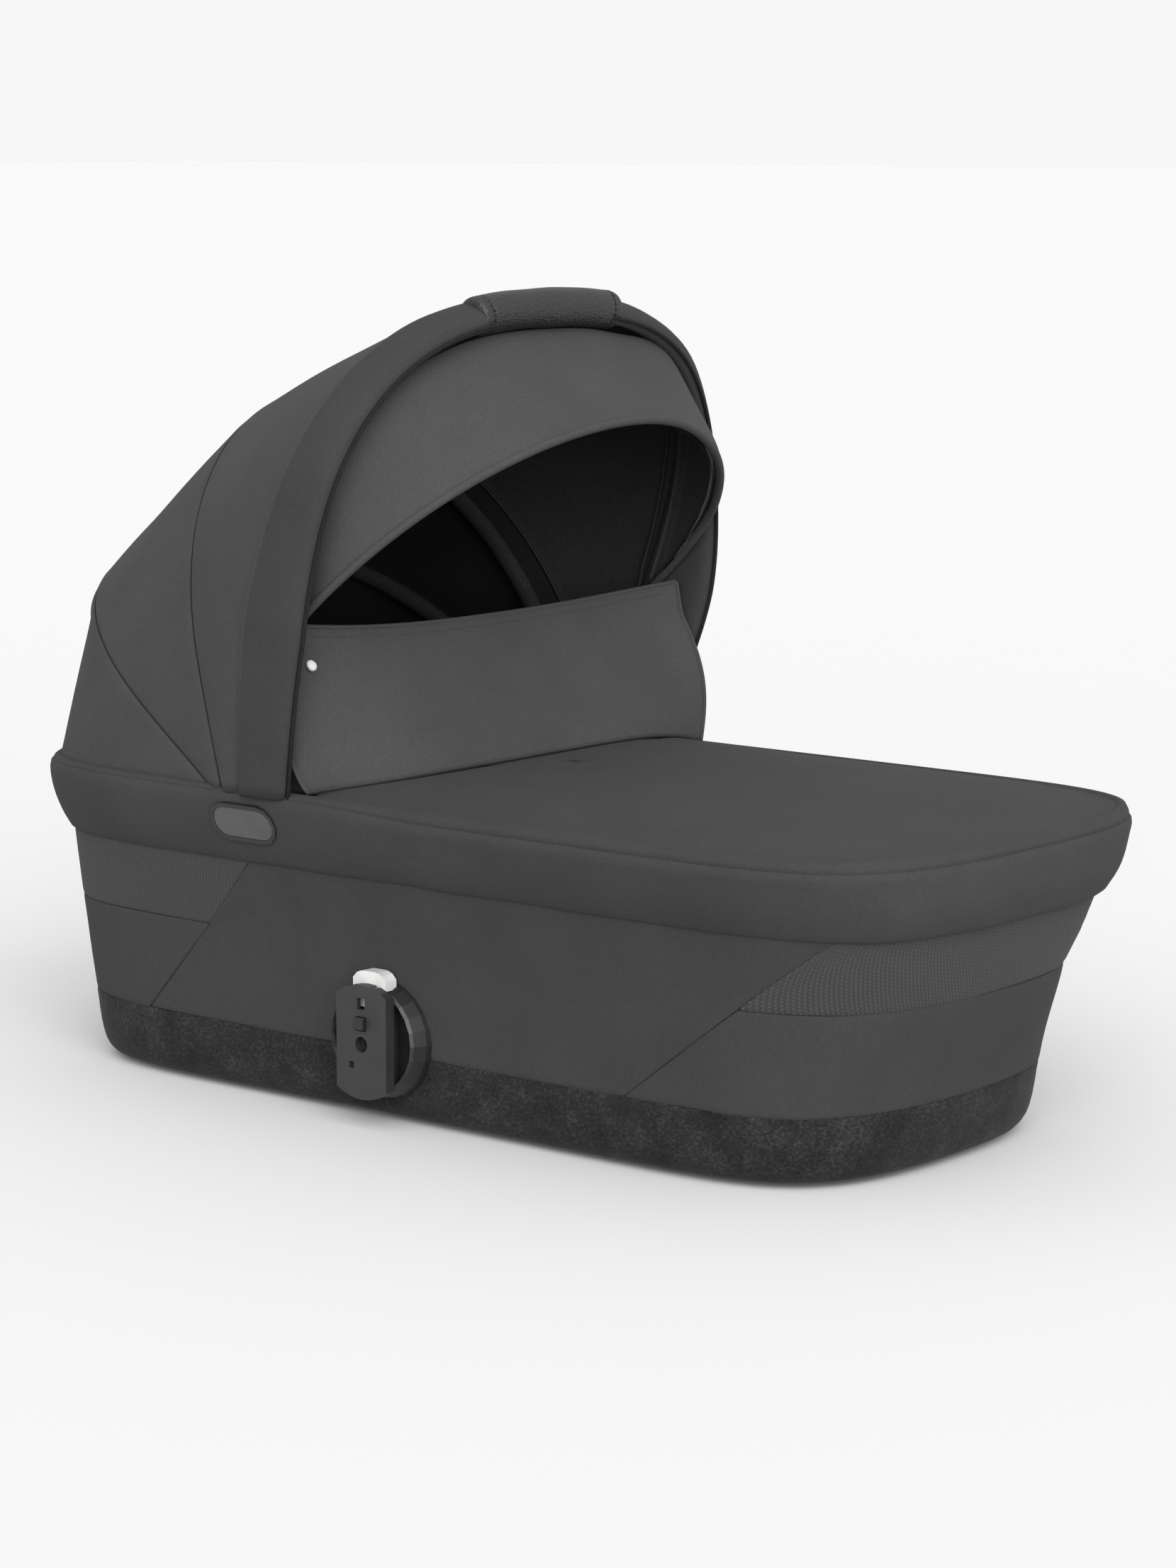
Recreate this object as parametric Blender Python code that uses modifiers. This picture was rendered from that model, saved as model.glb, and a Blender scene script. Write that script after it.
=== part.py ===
"""A carrycot with a folding hood, for a pushchair frame.

A moulded tub stands on two feet and wears a cloth cover. The front hoop of the hood is also the
carrying handle. +X points to the foot end, +Z up, and the side called near is at -Y. Sizes are in
metres.
"""

import math
from typing import NamedTuple

import bmesh
import bpy
import numpy as np
from mathutils import Matrix, Vector

# General fits
CLEARANCE = 0.0003
OVERRUN = 0.004
MERGE_DISTANCE = 0.00001
COVER_SKIN = 0.0018
SIDES = {"near": -1, "far": 1}

# The tub's outline at four heights: half length, half width and the centre's place along X
BASE_Z, BASE_HALF_LENGTH, BASE_HALF_WIDTH, BASE_SHIFT = 0.006, 0.381, 0.168, -0.0175
MID_Z, MID_HALF_LENGTH, MID_HALF_WIDTH, MID_SHIFT = 0.130, 0.400, 0.174, -0.0155
SKIRT_Z, SKIRT_HALF_LENGTH, SKIRT_HALF_WIDTH, SKIRT_SHIFT = 0.187, 0.409, 0.185, -0.0025
SEAM_Z, SEAM_HALF_LENGTH, SEAM_HALF_WIDTH, SEAM_SHIFT = 0.241, 0.420, 0.206, 0.0025
END_FULLNESS = 9.0
BASE_SIDE_FULLNESS, MID_SIDE_FULLNESS, SKIRT_SIDE_FULLNESS, SEAM_SIDE_FULLNESS = 2.5, 2.7, 3.1, 3.0
QUARTER_POINTS = 10
TURNING_LENGTH = 0.25

# Cloth round the tub
STRIP_TOP_Z = 0.054
KNIT_Z = (MID_Z + SKIRT_Z) / 2
STRIP_TUCK = 0.007
BAND_BULGE = 0.0075
BAND_BULGE_Z = 0.214
BAND_SPLIT_X = -0.1425
APRON_CROWN = 0.013
APRON_EDGE_ROUND = 0.006
SEAM_LIFT = 0.003
TOP_SHARES = (0.0, 0.15, 0.5, 0.92)
SKIRT_SHARES = (0.0, 0.15, 0.5, 0.8, 1.0)
KNIT_HEAD_LENGTH, KNIT_HEAD_LEAN_SHARE = 0.257, 0.95
KNIT_FOOT_LENGTH, KNIT_FOOT_LEAN_SHARE = 0.0405, 1.30
KNIT_HEAD_X = SKIRT_SHIFT - SKIRT_HALF_LENGTH + KNIT_HEAD_LENGTH
KNIT_FOOT_X = SKIRT_SHIFT + SKIRT_HALF_LENGTH - KNIT_FOOT_LENGTH

# Moulded tub
SHELL_WALL = 0.003
FLOOR_THICKNESS = 0.0035
FLOOR_EDGE = 0.012
SHOULDER_Z, SHOULDER_RISE = 0.198, 0.005
RIM_INSET = 0.0055
RIM_TOP_Z, RIM_PLATE = 0.234, 0.0025
LIP_OUT, LIP_WALL, LIP_DROP = 0.0030, 0.0025, 0.018
FOOT_LENGTH, FOOT_WIDTH, FOOT_INSET = 0.060, 0.200, 0.050
LINER_THICKNESS = 0.004
MATTRESS_THICKNESS, MATTRESS_CROWN, MATTRESS_GAP = 0.028, 0.006, 0.004
MATTRESS_TOP_SHARES = (0.3, 0.9)

# Hood hinge, on one axis along Y behind each badge
PIVOT_X, PIVOT_Z = -0.1425, 0.2187
EYE_RADIUS, EYE_THICKNESS, EYE_GAP = 0.011, 0.003, 0.0004
PIN_RADIUS, PIN_BORE, PIN_HEAD_RADIUS, PIN_HEAD = 0.005, 0.0028, 0.0095, 0.0025
DRUM_RADIUS, DRUM_LENGTH = 0.009, 0.0072
TOOTH_COUNT, TOOTH_HEIGHT, TOOTH_TIP_GAP, TOOTH_SHARE = 12, 0.0012, 0.0004, 0.42
LOCK_RING_RADIUS, LOCK_RING_DEPTH = 0.0115, 0.0045
LOCK_LUG_COUNT, LOCK_LUG = 3, 0.003
LOCK_TRAVEL, LOCK_BAR, LOCK_BAR_SHARE = 0.003, 0.002, 0.65
LOCK_LUG_TURN_SHARE = 0.25
HINGE_BUTTON_RADIUS, HINGE_BUTTON_DEPTH = 0.013, 0.010
BUTTON_CROWN_SHARE, BUTTON_SIDE_SHARE = 0.8, 0.7
SPRING_WIRE_RADIUS = 0.0006
LOCK_SPRING_RADIUS, LOCK_SPRING_LENGTH, LOCK_SPRING_TURNS = 0.0085, 0.0055, 3
BADGE_LENGTH, BADGE_HEIGHT, BADGE_THICKNESS, BADGE_TILT = 0.066, 0.031, 0.0035, 0.33
BADGE_RIM, BADGE_FACE_DEPTH = 0.0035, 0.0014
HOUSING_OUT = 0.0275
HOUSING_INSET = 0.002

# Hoops: lean back from upright, crest and half width of the hoop's centre line, where it is widest,
# how much the foot is drawn in, and how full the arch is
REAR_LEAN, REAR_CREST, REAR_HALF_WIDTH = 54.9, 0.300, 0.1970
REAR_WIDEST, REAR_DRAW_IN, REAR_FULLNESS = 0.090, 0.004, 2.6
REAR_OUT_FROM, REAR_OUT_TO = 0.068, 0.100
MID_LEAN, MID_CREST, MID_HOOP_HALF_WIDTH = 25.2, 0.298, 0.2030
MID_WIDEST, MID_DRAW_IN, MID_FULLNESS = 0.080, 0.006, 2.25
MID_OUT_FROM, MID_OUT_TO = 0.056, 0.088
FRONT_LEAN, FRONT_CREST, FRONT_HALF_WIDTH = -17.6, 0.397, 0.2300
FRONT_WIDEST, FRONT_DRAW_IN, FRONT_FULLNESS = 0.1975, 0.030, 2.6
FRONT_OUT_FROM, FRONT_OUT_TO = 0.046, 0.076
DRAW_POWER = 1.6
HOOP_WIDTH, HOOP_THICKNESS = 0.010, 0.004
BOW_WIDTH, BOW_THICKNESS = 0.016, 0.009
LEG_WIDTH = 0.012
HOOD_SKIN = 0.0015
HOOD_BASE_Z = SEAM_Z + HOOD_SKIN / 2
ARCH_POINTS = 33
GRIP_HALF_LENGTH, GRIP_RADIUS = 0.080, 0.0145
GRIP_SIDES, GRIP_END_SHARES = 12, (0.80, 0.96)
HOOD_RIM_INSET, HOOD_RIM_START, CLOTH_GAP = 0.0004, 0.040, 0.0004

# How far the front band lies behind and before the front hoop: at the rim, part way up and at the crest
BAND_REAR_LOW, BAND_REAR_MID, BAND_REAR_TOP = 0.008, 0.024, 0.0165
BAND_FRONT_LOW, BAND_FRONT_MID, BAND_FRONT_TOP = 0.036, 0.033, 0.0135
BAND_MID_HEIGHT, BAND_LIFT = 0.160, 0.0070
VISOR_PIVOT_X, VISOR_PIVOT_Z = -0.0895, 0.3622
VISOR_INSET, VISOR_REACH, VISOR_PITCH, VISOR_FULLNESS = 0.0152, 0.2205, 44.5, 2.0
VISOR_HALF_WIDTH = FRONT_HALF_WIDTH - VISOR_INSET
VISOR_WIRE_RADIUS = 0.002
VISOR_ROOT_INSET, VISOR_ROOT_FORE = 0.0155, 0.005
BUSH_RADIUS, BUSH_LENGTH, BUSH_INSET = 0.006, 0.0045, 0.0126
BUSH_FACE = FRONT_HALF_WIDTH - BUSH_INSET
FLAP_X, FLAP_Z, FLAP_HEIGHT, FLAP_CORNER_RISE = -0.0265, 0.2590, 0.114, 0.010
FLAP_HALF_WIDTH, FLAP_LEAN, FLAP_THICKNESS, FLAP_SWEEP = 0.198, 27.0, 0.003, 0.056
FLAP_TOP_INSET, FLAP_TOP_SWEEP = 0.026, 0.006
FLAP_TOP_HALF_WIDTH = FRONT_HALF_WIDTH - FLAP_TOP_INSET
FLAP_CORNER_POWER = 2.5
SNAP_RADIUS, SNAP_THICKNESS, SNAP_DOWN, SNAP_CROWN_SHARE = 0.0045, 0.0025, 0.036, 0.6

# Adapter on each side wall, measured out from the wall
ADAPTER_X, ADAPTER_Z = -0.0315, 0.066
HUB_RADIUS, HUB_FRONT_RADIUS, HUB_DEPTH, HUB_FLOOR = 0.046, 0.041, 0.0176, 0.006
HUB_WALL, HUB_LIP = 0.0035, 0.002
NECK_HALF_WIDTH, NECK_HALF_HEIGHT = 0.0165, 0.033
PLATE_HALF_WIDTH, PLATE_RADIUS, PLATE_BACK, PLATE_FRONT = 0.0245, 0.043, 0.0190, 0.0280
PLATE_SKIN = 0.0035
CHANNEL_HALF_WIDTH, CHANNEL_BOTTOM = 0.0105, 0.0075
WINDOW_WIDTH, WINDOW_HEIGHT, WINDOW_UP = 0.0075, 0.0087, 0.0290
CATCH_WIDTH, CATCH_HEIGHT, CATCH_UP, CATCH_OUT, CATCH_TRAVEL = 0.0100, 0.0110, 0.0140, 0.0035, 0.004
CATCH_LEDGE_UP, CATCH_SLOPE_OUT, CATCH_SLOPE_RUN = 0.0190, 0.0238, 0.008
SCREW_RECESS_RADIUS, SCREW_HEAD_RADIUS, SCREW_HEAD, SCREW_SHANK_RADIUS = 0.0060, 0.0052, 0.003, 0.0025
SCREW_DOWN = -0.0015
PEG_HOLE, PEG_HOLE_X, PEG_HOLE_DOWN = 0.0048, -0.0095, -0.0177
RELEASE_HALF_WIDTH, RELEASE_TOP, RELEASE_TRAVEL = 0.0160, 0.0520, 0.005
RELEASE_CAP, RELEASE_ARCH = 0.0085, 0.006
RELEASE_SPRING_X, RELEASE_SPRING_RADIUS, RELEASE_SPRING_TURNS = 0.0135, 0.0016, 4
RELEASE_WELL_RADIUS, RELEASE_WELL_DEPTH = 0.0026, 0.008


class Level(NamedTuple):
    height: float
    half_length: float
    half_width: float
    shift: float
    side_fullness: float


LEVELS = (
    Level(BASE_Z, BASE_HALF_LENGTH, BASE_HALF_WIDTH, BASE_SHIFT, BASE_SIDE_FULLNESS),
    Level(MID_Z, MID_HALF_LENGTH, MID_HALF_WIDTH, MID_SHIFT, MID_SIDE_FULLNESS),
    Level(SKIRT_Z, SKIRT_HALF_LENGTH, SKIRT_HALF_WIDTH, SKIRT_SHIFT, SKIRT_SIDE_FULLNESS),
    Level(SEAM_Z, SEAM_HALF_LENGTH, SEAM_HALF_WIDTH, SEAM_SHIFT, SEAM_SIDE_FULLNESS),
)


class Hoop(NamedTuple):
    name: str
    lean: float
    crest: float
    half_width: float
    widest: float
    draw_in: float
    fullness: float
    width: float
    thickness: float
    place: int
    out_from: float
    out_to: float
    sides: int


REAR = Hoop(
    "rear_hoop", REAR_LEAN, REAR_CREST, REAR_HALF_WIDTH, REAR_WIDEST, REAR_DRAW_IN, REAR_FULLNESS,
    HOOP_WIDTH, HOOP_THICKNESS, 2, REAR_OUT_FROM, REAR_OUT_TO, 6,
)
MID = Hoop(
    "mid_hoop", MID_LEAN, MID_CREST, MID_HOOP_HALF_WIDTH, MID_WIDEST, MID_DRAW_IN, MID_FULLNESS,
    HOOP_WIDTH, HOOP_THICKNESS, 1, MID_OUT_FROM, MID_OUT_TO, 6,
)
FRONT = Hoop(
    "front_hoop", FRONT_LEAN, FRONT_CREST, FRONT_HALF_WIDTH, FRONT_WIDEST, FRONT_DRAW_IN, FRONT_FULLNESS,
    BOW_WIDTH, BOW_THICKNESS, 0, FRONT_OUT_FROM, FRONT_OUT_TO, 8,
)


def clear_scene():
    for item in list(bpy.data.objects):
        bpy.data.objects.remove(item)


def collection(name):
    made = bpy.data.collections.new(name)
    bpy.context.scene.collection.children.link(made)
    return made


def material(name, colour, roughness, metallic=0.0):
    made = bpy.data.materials.new(name)
    made.use_nodes = True
    shader = made.node_tree.nodes["Principled BSDF"]
    shader.inputs["Base Color"].default_value = (*colour, 1.0)
    shader.inputs["Roughness"].default_value = roughness
    shader.inputs["Metallic"].default_value = metallic
    made.diffuse_color = (*colour, 1.0)
    return made


def add(name, bm, look, parent=None, smooth=0.6):
    """Puts a closed bmesh in the part under a name, with a look of its own."""
    bmesh.ops.recalc_face_normals(bm, faces=bm.faces)
    mesh = bpy.data.meshes.new(name)
    bm.to_mesh(mesh)
    bm.free()
    mesh.shade_smooth()
    mesh.set_sharp_from_angle(angle=smooth)
    made = bpy.data.objects.new(name, mesh)
    made.data.materials.append(material(name, *look))
    PART.objects.link(made)
    made.parent = parent
    if parent:
        made.matrix_parent_inverse = Matrix.Translation(parent.location).inverted()
    return made


def helper(name, bm):
    """A shape that only cuts or joins others."""
    bmesh.ops.recalc_face_normals(bm, faces=bm.faces)
    mesh = bpy.data.meshes.new(name)
    bm.to_mesh(mesh)
    bm.free()
    made = bpy.data.objects.new(name, mesh)
    made.hide_render = True
    made.display_type = "WIRE"
    CUTTERS.objects.link(made)
    return made


def combine(target, tool, operation):
    step = target.modifiers.new(tool.name, "BOOLEAN")
    step.operation = operation
    step.object = tool
    return target


def cut(target, tool):
    return combine(target, tool, "DIFFERENCE")


def join(target, tool):
    return combine(target, tool, "UNION")


def axis_empty(name, location):
    made = bpy.data.objects.new(name, None)
    made.location = location
    PART.objects.link(made)
    return made


# Outlines round the tub


def quarter_shares():
    """Pairs of shares that place the points of a quarter of the outline.

    The first share belongs to the length and the second to the width, and they add up to one. The
    points share the line's length and its turning evenly, so that a corner gets more of them.
    """
    seam = LEVELS[-1]
    fine = np.linspace(0.0, 1.0, 4001)
    half_share = 0.5
    across = fine * half_share ** (1 / seam.side_fullness)
    along = fine[::-1] * half_share ** (1 / END_FULLNESS)
    side = np.concatenate([across**seam.side_fullness, 1 - along[1:] ** END_FULLNESS])
    end = np.concatenate([1 - across**seam.side_fullness, along[1:] ** END_FULLNESS])
    x = seam.half_length * end ** (1 / END_FULLNESS)
    y = seam.half_width * side ** (1 / seam.side_fullness)
    step = np.hypot(np.diff(x), np.diff(y))
    heading = np.unwrap(np.arctan2(np.diff(y), np.diff(x)))
    turning = np.abs(np.diff(heading, prepend=heading[0]))
    travelled = np.concatenate([[0.0], np.cumsum(step + TURNING_LENGTH * turning)])
    wanted = np.linspace(0.0, travelled[-1], QUARTER_POINTS + 1)
    return np.interp(wanted, travelled, end), np.interp(wanted, travelled, side)


def ring_shares():
    """The shares and signs of the whole outline, from the foot end towards +Y and round."""
    end, side = quarter_shares()
    ends = np.concatenate([end[:-1], -end[:0:-1], -end[:-1], end[:0:-1]])
    sides = np.concatenate([side[:-1], side[:0:-1], -side[:-1], -side[:0:-1]])
    return ends, sides


def level_at(height):
    heights = [level.height for level in LEVELS]
    columns = list(zip(*LEVELS))[1:]
    return [float(np.interp(height, heights, column)) for column in columns]


def ring(height, offset=0.0, shape_height=None):
    """The tub's outline at a height, moved out by an offset, as an array of points."""
    half_length, half_width, shift, side_fullness = level_at(
        height if shape_height is None else shape_height
    )
    ends, sides = RING
    x = half_length * np.sign(ends) * np.abs(ends) ** (1 / END_FULLNESS)
    y = half_width * np.sign(sides) * np.abs(sides) ** (1 / side_fullness)
    normal_x = np.sign(x) * np.abs(x / half_length) ** (END_FULLNESS - 1) / half_length
    normal_y = np.sign(y) * np.abs(y / half_width) ** (side_fullness - 1) / half_width
    size = np.hypot(normal_x, normal_y)
    points = np.empty((len(x), 3))
    points[:, 0] = x + shift + offset * normal_x / size
    points[:, 1] = y + offset * normal_y / size
    points[:, 2] = height
    return points


def wall_at(x, height, offset=0.0):
    """How far the wall stands from the middle at a place along the side."""
    half_length, half_width, shift, side_fullness = level_at(height)
    share = 1 - abs((x - shift) / half_length) ** END_FULLNESS
    return half_width * share ** (1 / side_fullness) + offset


def bulge(height):
    """How far the skirt stands out past the straight line between its edges."""
    reach = (SEAM_Z - SKIRT_Z) / 2
    share = (height - BAND_BULGE_Z) / reach
    return BAND_BULGE * math.sqrt(max(0.0, 1 - share * share))


def loft(rings, closed=False):
    """Joins rings of points into one body, with end faces or joined back to the first ring."""
    bm = bmesh.new()
    rows = [[bm.verts.new(point) for point in each] for each in rings]
    following = rows[1:] + rows[:1] if closed else rows[1:]
    for low, high in zip(rows, following):
        for i, corner in enumerate(low):
            after = (i + 1) % len(low)
            bm.faces.new((corner, low[after], high[after], high[i]))
    if not closed:
        bm.faces.new(rows[0][::-1])
        bm.faces.new(rows[-1])
    return bm


def sheet(rows):
    """An open sheet of cloth through rows of points."""
    bm = bmesh.new()
    lines = [[bm.verts.new(point) for point in row] for row in rows]
    for low, high in zip(lines, lines[1:]):
        for i in range(len(low) - 1):
            bm.faces.new((low[i], low[i + 1], high[i + 1], high[i]))
    return bm


def thicken(target, thickness, towards=-1):
    step = target.modifiers.new("thickness", "SOLIDIFY")
    step.thickness = thickness
    step.offset = towards
    step.use_even_offset = True
    return target


# Shapes that stand out from a side wall


def prism(outline, inner, outer, side):
    """An outline in X and Z, drawn out along Y from one distance from the middle to another."""
    rings = [[(x, side * depth, z) for x, z in outline] for depth in (inner, outer)]
    return loft(rings)


def circle(radius, centre, count=20, start=0.0):
    angles = start + np.linspace(0, math.tau, count, endpoint=False)
    return [(centre[0] + radius * math.cos(a), centre[1] + radius * math.sin(a)) for a in angles]


def rectangle(width, height, centre):
    return [
        (centre[0] + x * width / 2, centre[1] + z * height / 2)
        for x, z in ((-1, -1), (1, -1), (1, 1), (-1, 1))
    ]


def stadium(length, height, centre, count=6):
    """A long outline with round ends."""
    radius = height / 2
    straight = length / 2 - radius
    points = []
    for end, start in ((1, -math.pi / 2), (-1, math.pi / 2)):
        for angle in start + np.linspace(0, math.pi, count + 1):
            x = centre[0] + end * straight + radius * math.cos(angle)
            points.append((x, centre[1] + radius * math.sin(angle)))
    return points


def spring(name, start, axis, radius, length, turns, look, parent=None):
    """A coil of round wire along an axis, as one unbroken tube."""
    per_turn = 7
    axis = Vector(axis)
    across = Vector((1, 0, 0)) if abs(axis.x) < 0.5 else Vector((0, 0, 1))
    other = axis.cross(across)
    curve = bpy.data.curves.new(name, "CURVE")
    curve.dimensions = "3D"
    curve.bevel_depth = SPRING_WIRE_RADIUS
    curve.bevel_resolution = 0
    curve.render_resolution_u = 0
    curve.use_fill_caps = True
    line = curve.splines.new("POLY")
    count = per_turn * turns + 1
    line.points.add(count - 1)
    for i in range(count):
        angle = math.tau * i / per_turn
        along = SPRING_WIRE_RADIUS + (length - 2 * SPRING_WIRE_RADIUS) * i / (count - 1)
        place = Vector(start) + axis * along
        place += radius * (math.cos(angle) * across + math.sin(angle) * other)
        line.points[i].co = (*place, 1)
    made = bpy.data.objects.new(name, curve)
    curve.materials.append(material(name, *look))
    PART.objects.link(made)
    made.parent = parent
    if parent:
        made.matrix_parent_inverse = Matrix.Translation(parent.location).inverted()
    return made


# Looks: colour, roughness, metallic
CLOTH = ((0.075, 0.075, 0.077), 0.92)
CLOTH_DARK = ((0.030, 0.030, 0.031), 0.95)
KNIT = ((0.085, 0.085, 0.088), 0.90)
STRIP = ((0.030, 0.031, 0.033), 0.95)
PLASTIC = ((0.028, 0.028, 0.030), 0.42)
PLASTIC_GREY = ((0.11, 0.11, 0.115), 0.45)
WHITE = ((0.80, 0.80, 0.80), 0.40)
STEEL = ((0.60, 0.60, 0.62), 0.30, 1.0)
ALLOY = ((0.45, 0.45, 0.47), 0.38, 1.0)
LEATHERETTE = ((0.055, 0.055, 0.057), 0.60)
RUBBER = ((0.02, 0.02, 0.02), 0.80)


# Tub


def shell_face(height, extra=0.0, shape_height=None):
    return ring(height, -(COVER_SKIN + 2 * CLEARANCE) - extra, shape_height)


def tub_shell():
    shoulder_top = SHOULDER_Z + SHOULDER_RISE
    lip_bottom = RIM_TOP_Z - LIP_DROP
    rings = [
        shell_face(BASE_Z, FLOOR_EDGE),
        shell_face(BASE_Z + FLOOR_EDGE),
        shell_face(MID_Z),
        shell_face(KNIT_Z),
        shell_face(SKIRT_Z),
        shell_face(SHOULDER_Z),
        ring(shoulder_top, -RIM_INSET, SKIRT_Z),
        ring(RIM_TOP_Z - RIM_PLATE, -RIM_INSET, SKIRT_Z),
        ring(RIM_TOP_Z - RIM_PLATE, LIP_OUT - LIP_WALL),
        ring(lip_bottom, LIP_OUT - LIP_WALL),
        ring(lip_bottom, LIP_OUT),
        ring(RIM_TOP_Z - RIM_PLATE, LIP_OUT),
        ring(RIM_TOP_Z, LIP_OUT - RIM_PLATE),
        ring(RIM_TOP_Z, -RIM_INSET - SHELL_WALL, SKIRT_Z),
        ring(shoulder_top, -RIM_INSET - SHELL_WALL, SKIRT_Z),
        shell_face(SHOULDER_Z, SHELL_WALL),
        shell_face(SKIRT_Z, SHELL_WALL),
        shell_face(KNIT_Z, SHELL_WALL),
        shell_face(MID_Z, SHELL_WALL),
        shell_face(BASE_Z + FLOOR_EDGE, SHELL_WALL),
        shell_face(BASE_Z + FLOOR_THICKNESS, FLOOR_EDGE),
    ]
    shell = add("tub_shell", loft(rings), PLASTIC)
    for word, side in SIDES.items():
        hole = circle(DRUM_RADIUS + 2 * CLEARANCE, (PIVOT_X, PIVOT_Z))
        inner = RIM_WALL - SHELL_WALL - OVERRUN / 4
        cut(shell, helper(f"hinge_hole_{word}", prism(hole, inner, RIM_WALL + OVERRUN / 4, side)))
        notch = rectangle(
            BADGE_LENGTH - 2 * HOUSING_INSET + 2 * CLEARANCE,
            RIM_TOP_Z + OVERRUN - SHOULDER_Z - SHOULDER_RISE - CLEARANCE,
            (PIVOT_X, (RIM_TOP_Z + OVERRUN + SHOULDER_Z + SHOULDER_RISE + CLEARANCE) / 2),
        )
        outer = SEAM_HALF_WIDTH + BAND_BULGE
        cut(shell, helper(f"lip_notch_{word}", prism(notch, RIM_WALL + CLEARANCE / 2, outer, side)))
        bolt = circle(SCREW_SHANK_RADIUS + CLEARANCE, (ADAPTER_X, ADAPTER_Z + SCREW_DOWN), 12)
        face = wall_at(ADAPTER_X, ADAPTER_Z)
        hole = prism(bolt, face - HUB_DEPTH, face + HUB_DEPTH, side)
        cut(shell, helper(f"bolt_hole_{word}", hole))
    return shell


def feet():
    """Two wide pads under the floor, which carry the tub."""
    ends = {
        "head": BASE_SHIFT - BASE_HALF_LENGTH + FOOT_INSET + FOOT_LENGTH / 2,
        "foot": BASE_SHIFT + BASE_HALF_LENGTH - FOOT_INSET - FOOT_LENGTH / 2,
    }
    height = BASE_Z - CLEARANCE
    for word, x in ends.items():
        bm = bmesh.new()
        bmesh.ops.create_cube(bm, size=1)
        bmesh.ops.scale(bm, vec=(FOOT_LENGTH, FOOT_WIDTH, height), verts=bm.verts)
        bmesh.ops.translate(bm, vec=(x, 0, height / 2), verts=bm.verts)
        upright = [e for e in bm.edges if abs(e.verts[0].co.z - e.verts[1].co.z) > height / 2]
        radius = FOOT_LENGTH / 3
        bmesh.ops.bevel(bm, geom=upright, offset=radius, segments=4, affect="EDGES", profile=0.5)
        add(f"base_pad_{word}", bm, RUBBER)


def skin(name, sections, look):
    """A closed band of cloth round the tub: its outer face, then its inner face."""
    outer = [ring(height, offset) for height, offset in sections]
    inner = [ring(height, offset - COVER_SKIN) for height, offset in sections[::-1]]
    return add(name, loft(outer + inner, closed=True), look)


def side_cloth():
    """The heathered strip, the side cover and a knit panel at each end, with a hole for each hub."""
    strip = [(BASE_Z, -STRIP_TUCK), (BASE_Z + FLOOR_EDGE, 0.0), (STRIP_TOP_Z, 0.0)]
    base_strip = skin("base_strip", strip, STRIP)
    top = SKIRT_Z - CLEARANCE
    sections = [(z, 0.0) for z in (STRIP_TOP_Z + CLEARANCE, MID_Z, KNIT_Z, top)]
    cover = skin("side_cover", sections, CLOTH)
    for word, side in SIDES.items():
        face = wall_at(ADAPTER_X, ADAPTER_Z)
        hole = circle(HUB_RADIUS + CLEARANCE, (ADAPTER_X, ADAPTER_Z), 32)
        hole = helper(f"hub_hole_{word}", prism(hole, face - HUB_DEPTH, face + HUB_DEPTH, side))
        cut(base_strip, hole)
        cut(cover, hole)
    edges = (("head", -1, KNIT_HEAD_X, KNIT_HEAD_LEAN_SHARE), ("foot", 1, KNIT_FOOT_X, KNIT_FOOT_LEAN_SHARE))
    for word, end, edge, lean in edges:
        places = ((f"knit_space_{word}", 0.0, CLEARANCE), (f"knit_shape_{word}", CLEARANCE, OVERRUN))
        for name, gap, below in places:
            reach = end * (max(one.half_length + abs(one.shift) for one in LEVELS) + OVERRUN)
            low = MID_Z - below
            outline = [
                (edge + end * gap + lean * OVERRUN, SKIRT_Z + OVERRUN),
                (edge + end * gap - lean * (SKIRT_Z - low), low),
                (reach, low),
                (reach, SKIRT_Z + OVERRUN),
            ]
            wide = max(one.half_width for one in LEVELS) + OVERRUN
            helper(name, prism(outline, -wide, wide, 1))
        cut(cover, bpy.data.objects[f"knit_space_{word}"])
        panel = skin(f"knit_panel_{word}", sections[1:], KNIT)
        combine(panel, bpy.data.objects[f"knit_shape_{word}"], "INTERSECT")


def top_height(inward):
    """The height of the apron's crowned top, for a share of the way in to its middle."""
    return SEAM_Z + SEAM_LIFT + APRON_CROWN * (1 - (1 - inward) ** 2)


def skirt_heights():
    return [SKIRT_Z + share * (SEAM_Z - SKIRT_Z) for share in SKIRT_SHARES]


def lid_rings(thickness):
    """The rings of the skirt and the crowned top, moved in by a thickness."""
    rings = [ring(z, bulge(z) - thickness) for z in skirt_heights()]
    rings[-1][:, 2] -= thickness / 2
    seam = ring(SEAM_Z, -APRON_EDGE_ROUND - thickness)
    centre = np.array([SEAM_SHIFT, 0.0, 0.0])
    for inward in TOP_SHARES:
        top = seam * (1 - inward) + centre * inward
        top[:, 2] = top_height(inward) - thickness
        rings.append(top)
    return rings


def flap_line(count):
    """Where the wind flap meets the apron: level across the middle, swept back at the sides."""
    across = np.linspace(-1, 1, count)
    x = FLAP_X - FLAP_SWEEP * np.abs(across) ** 5
    return [(float(a), float(FLAP_HALF_WIDTH * b)) for a, b in zip(x, across)]


def badge_space(word, side):
    """The room that the badge and its housing take out of the cloth."""
    outline = stadium(
        BADGE_LENGTH + 2 * CLEARANCE, BADGE_HEIGHT + 2 * CLEARANCE, (PIVOT_X, PIVOT_Z), 8
    )
    return helper(f"badge_space_{word}", prism(outline, RIM_WALL, RIM_WALL + 2 * HOUSING_OUT, side))


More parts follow.
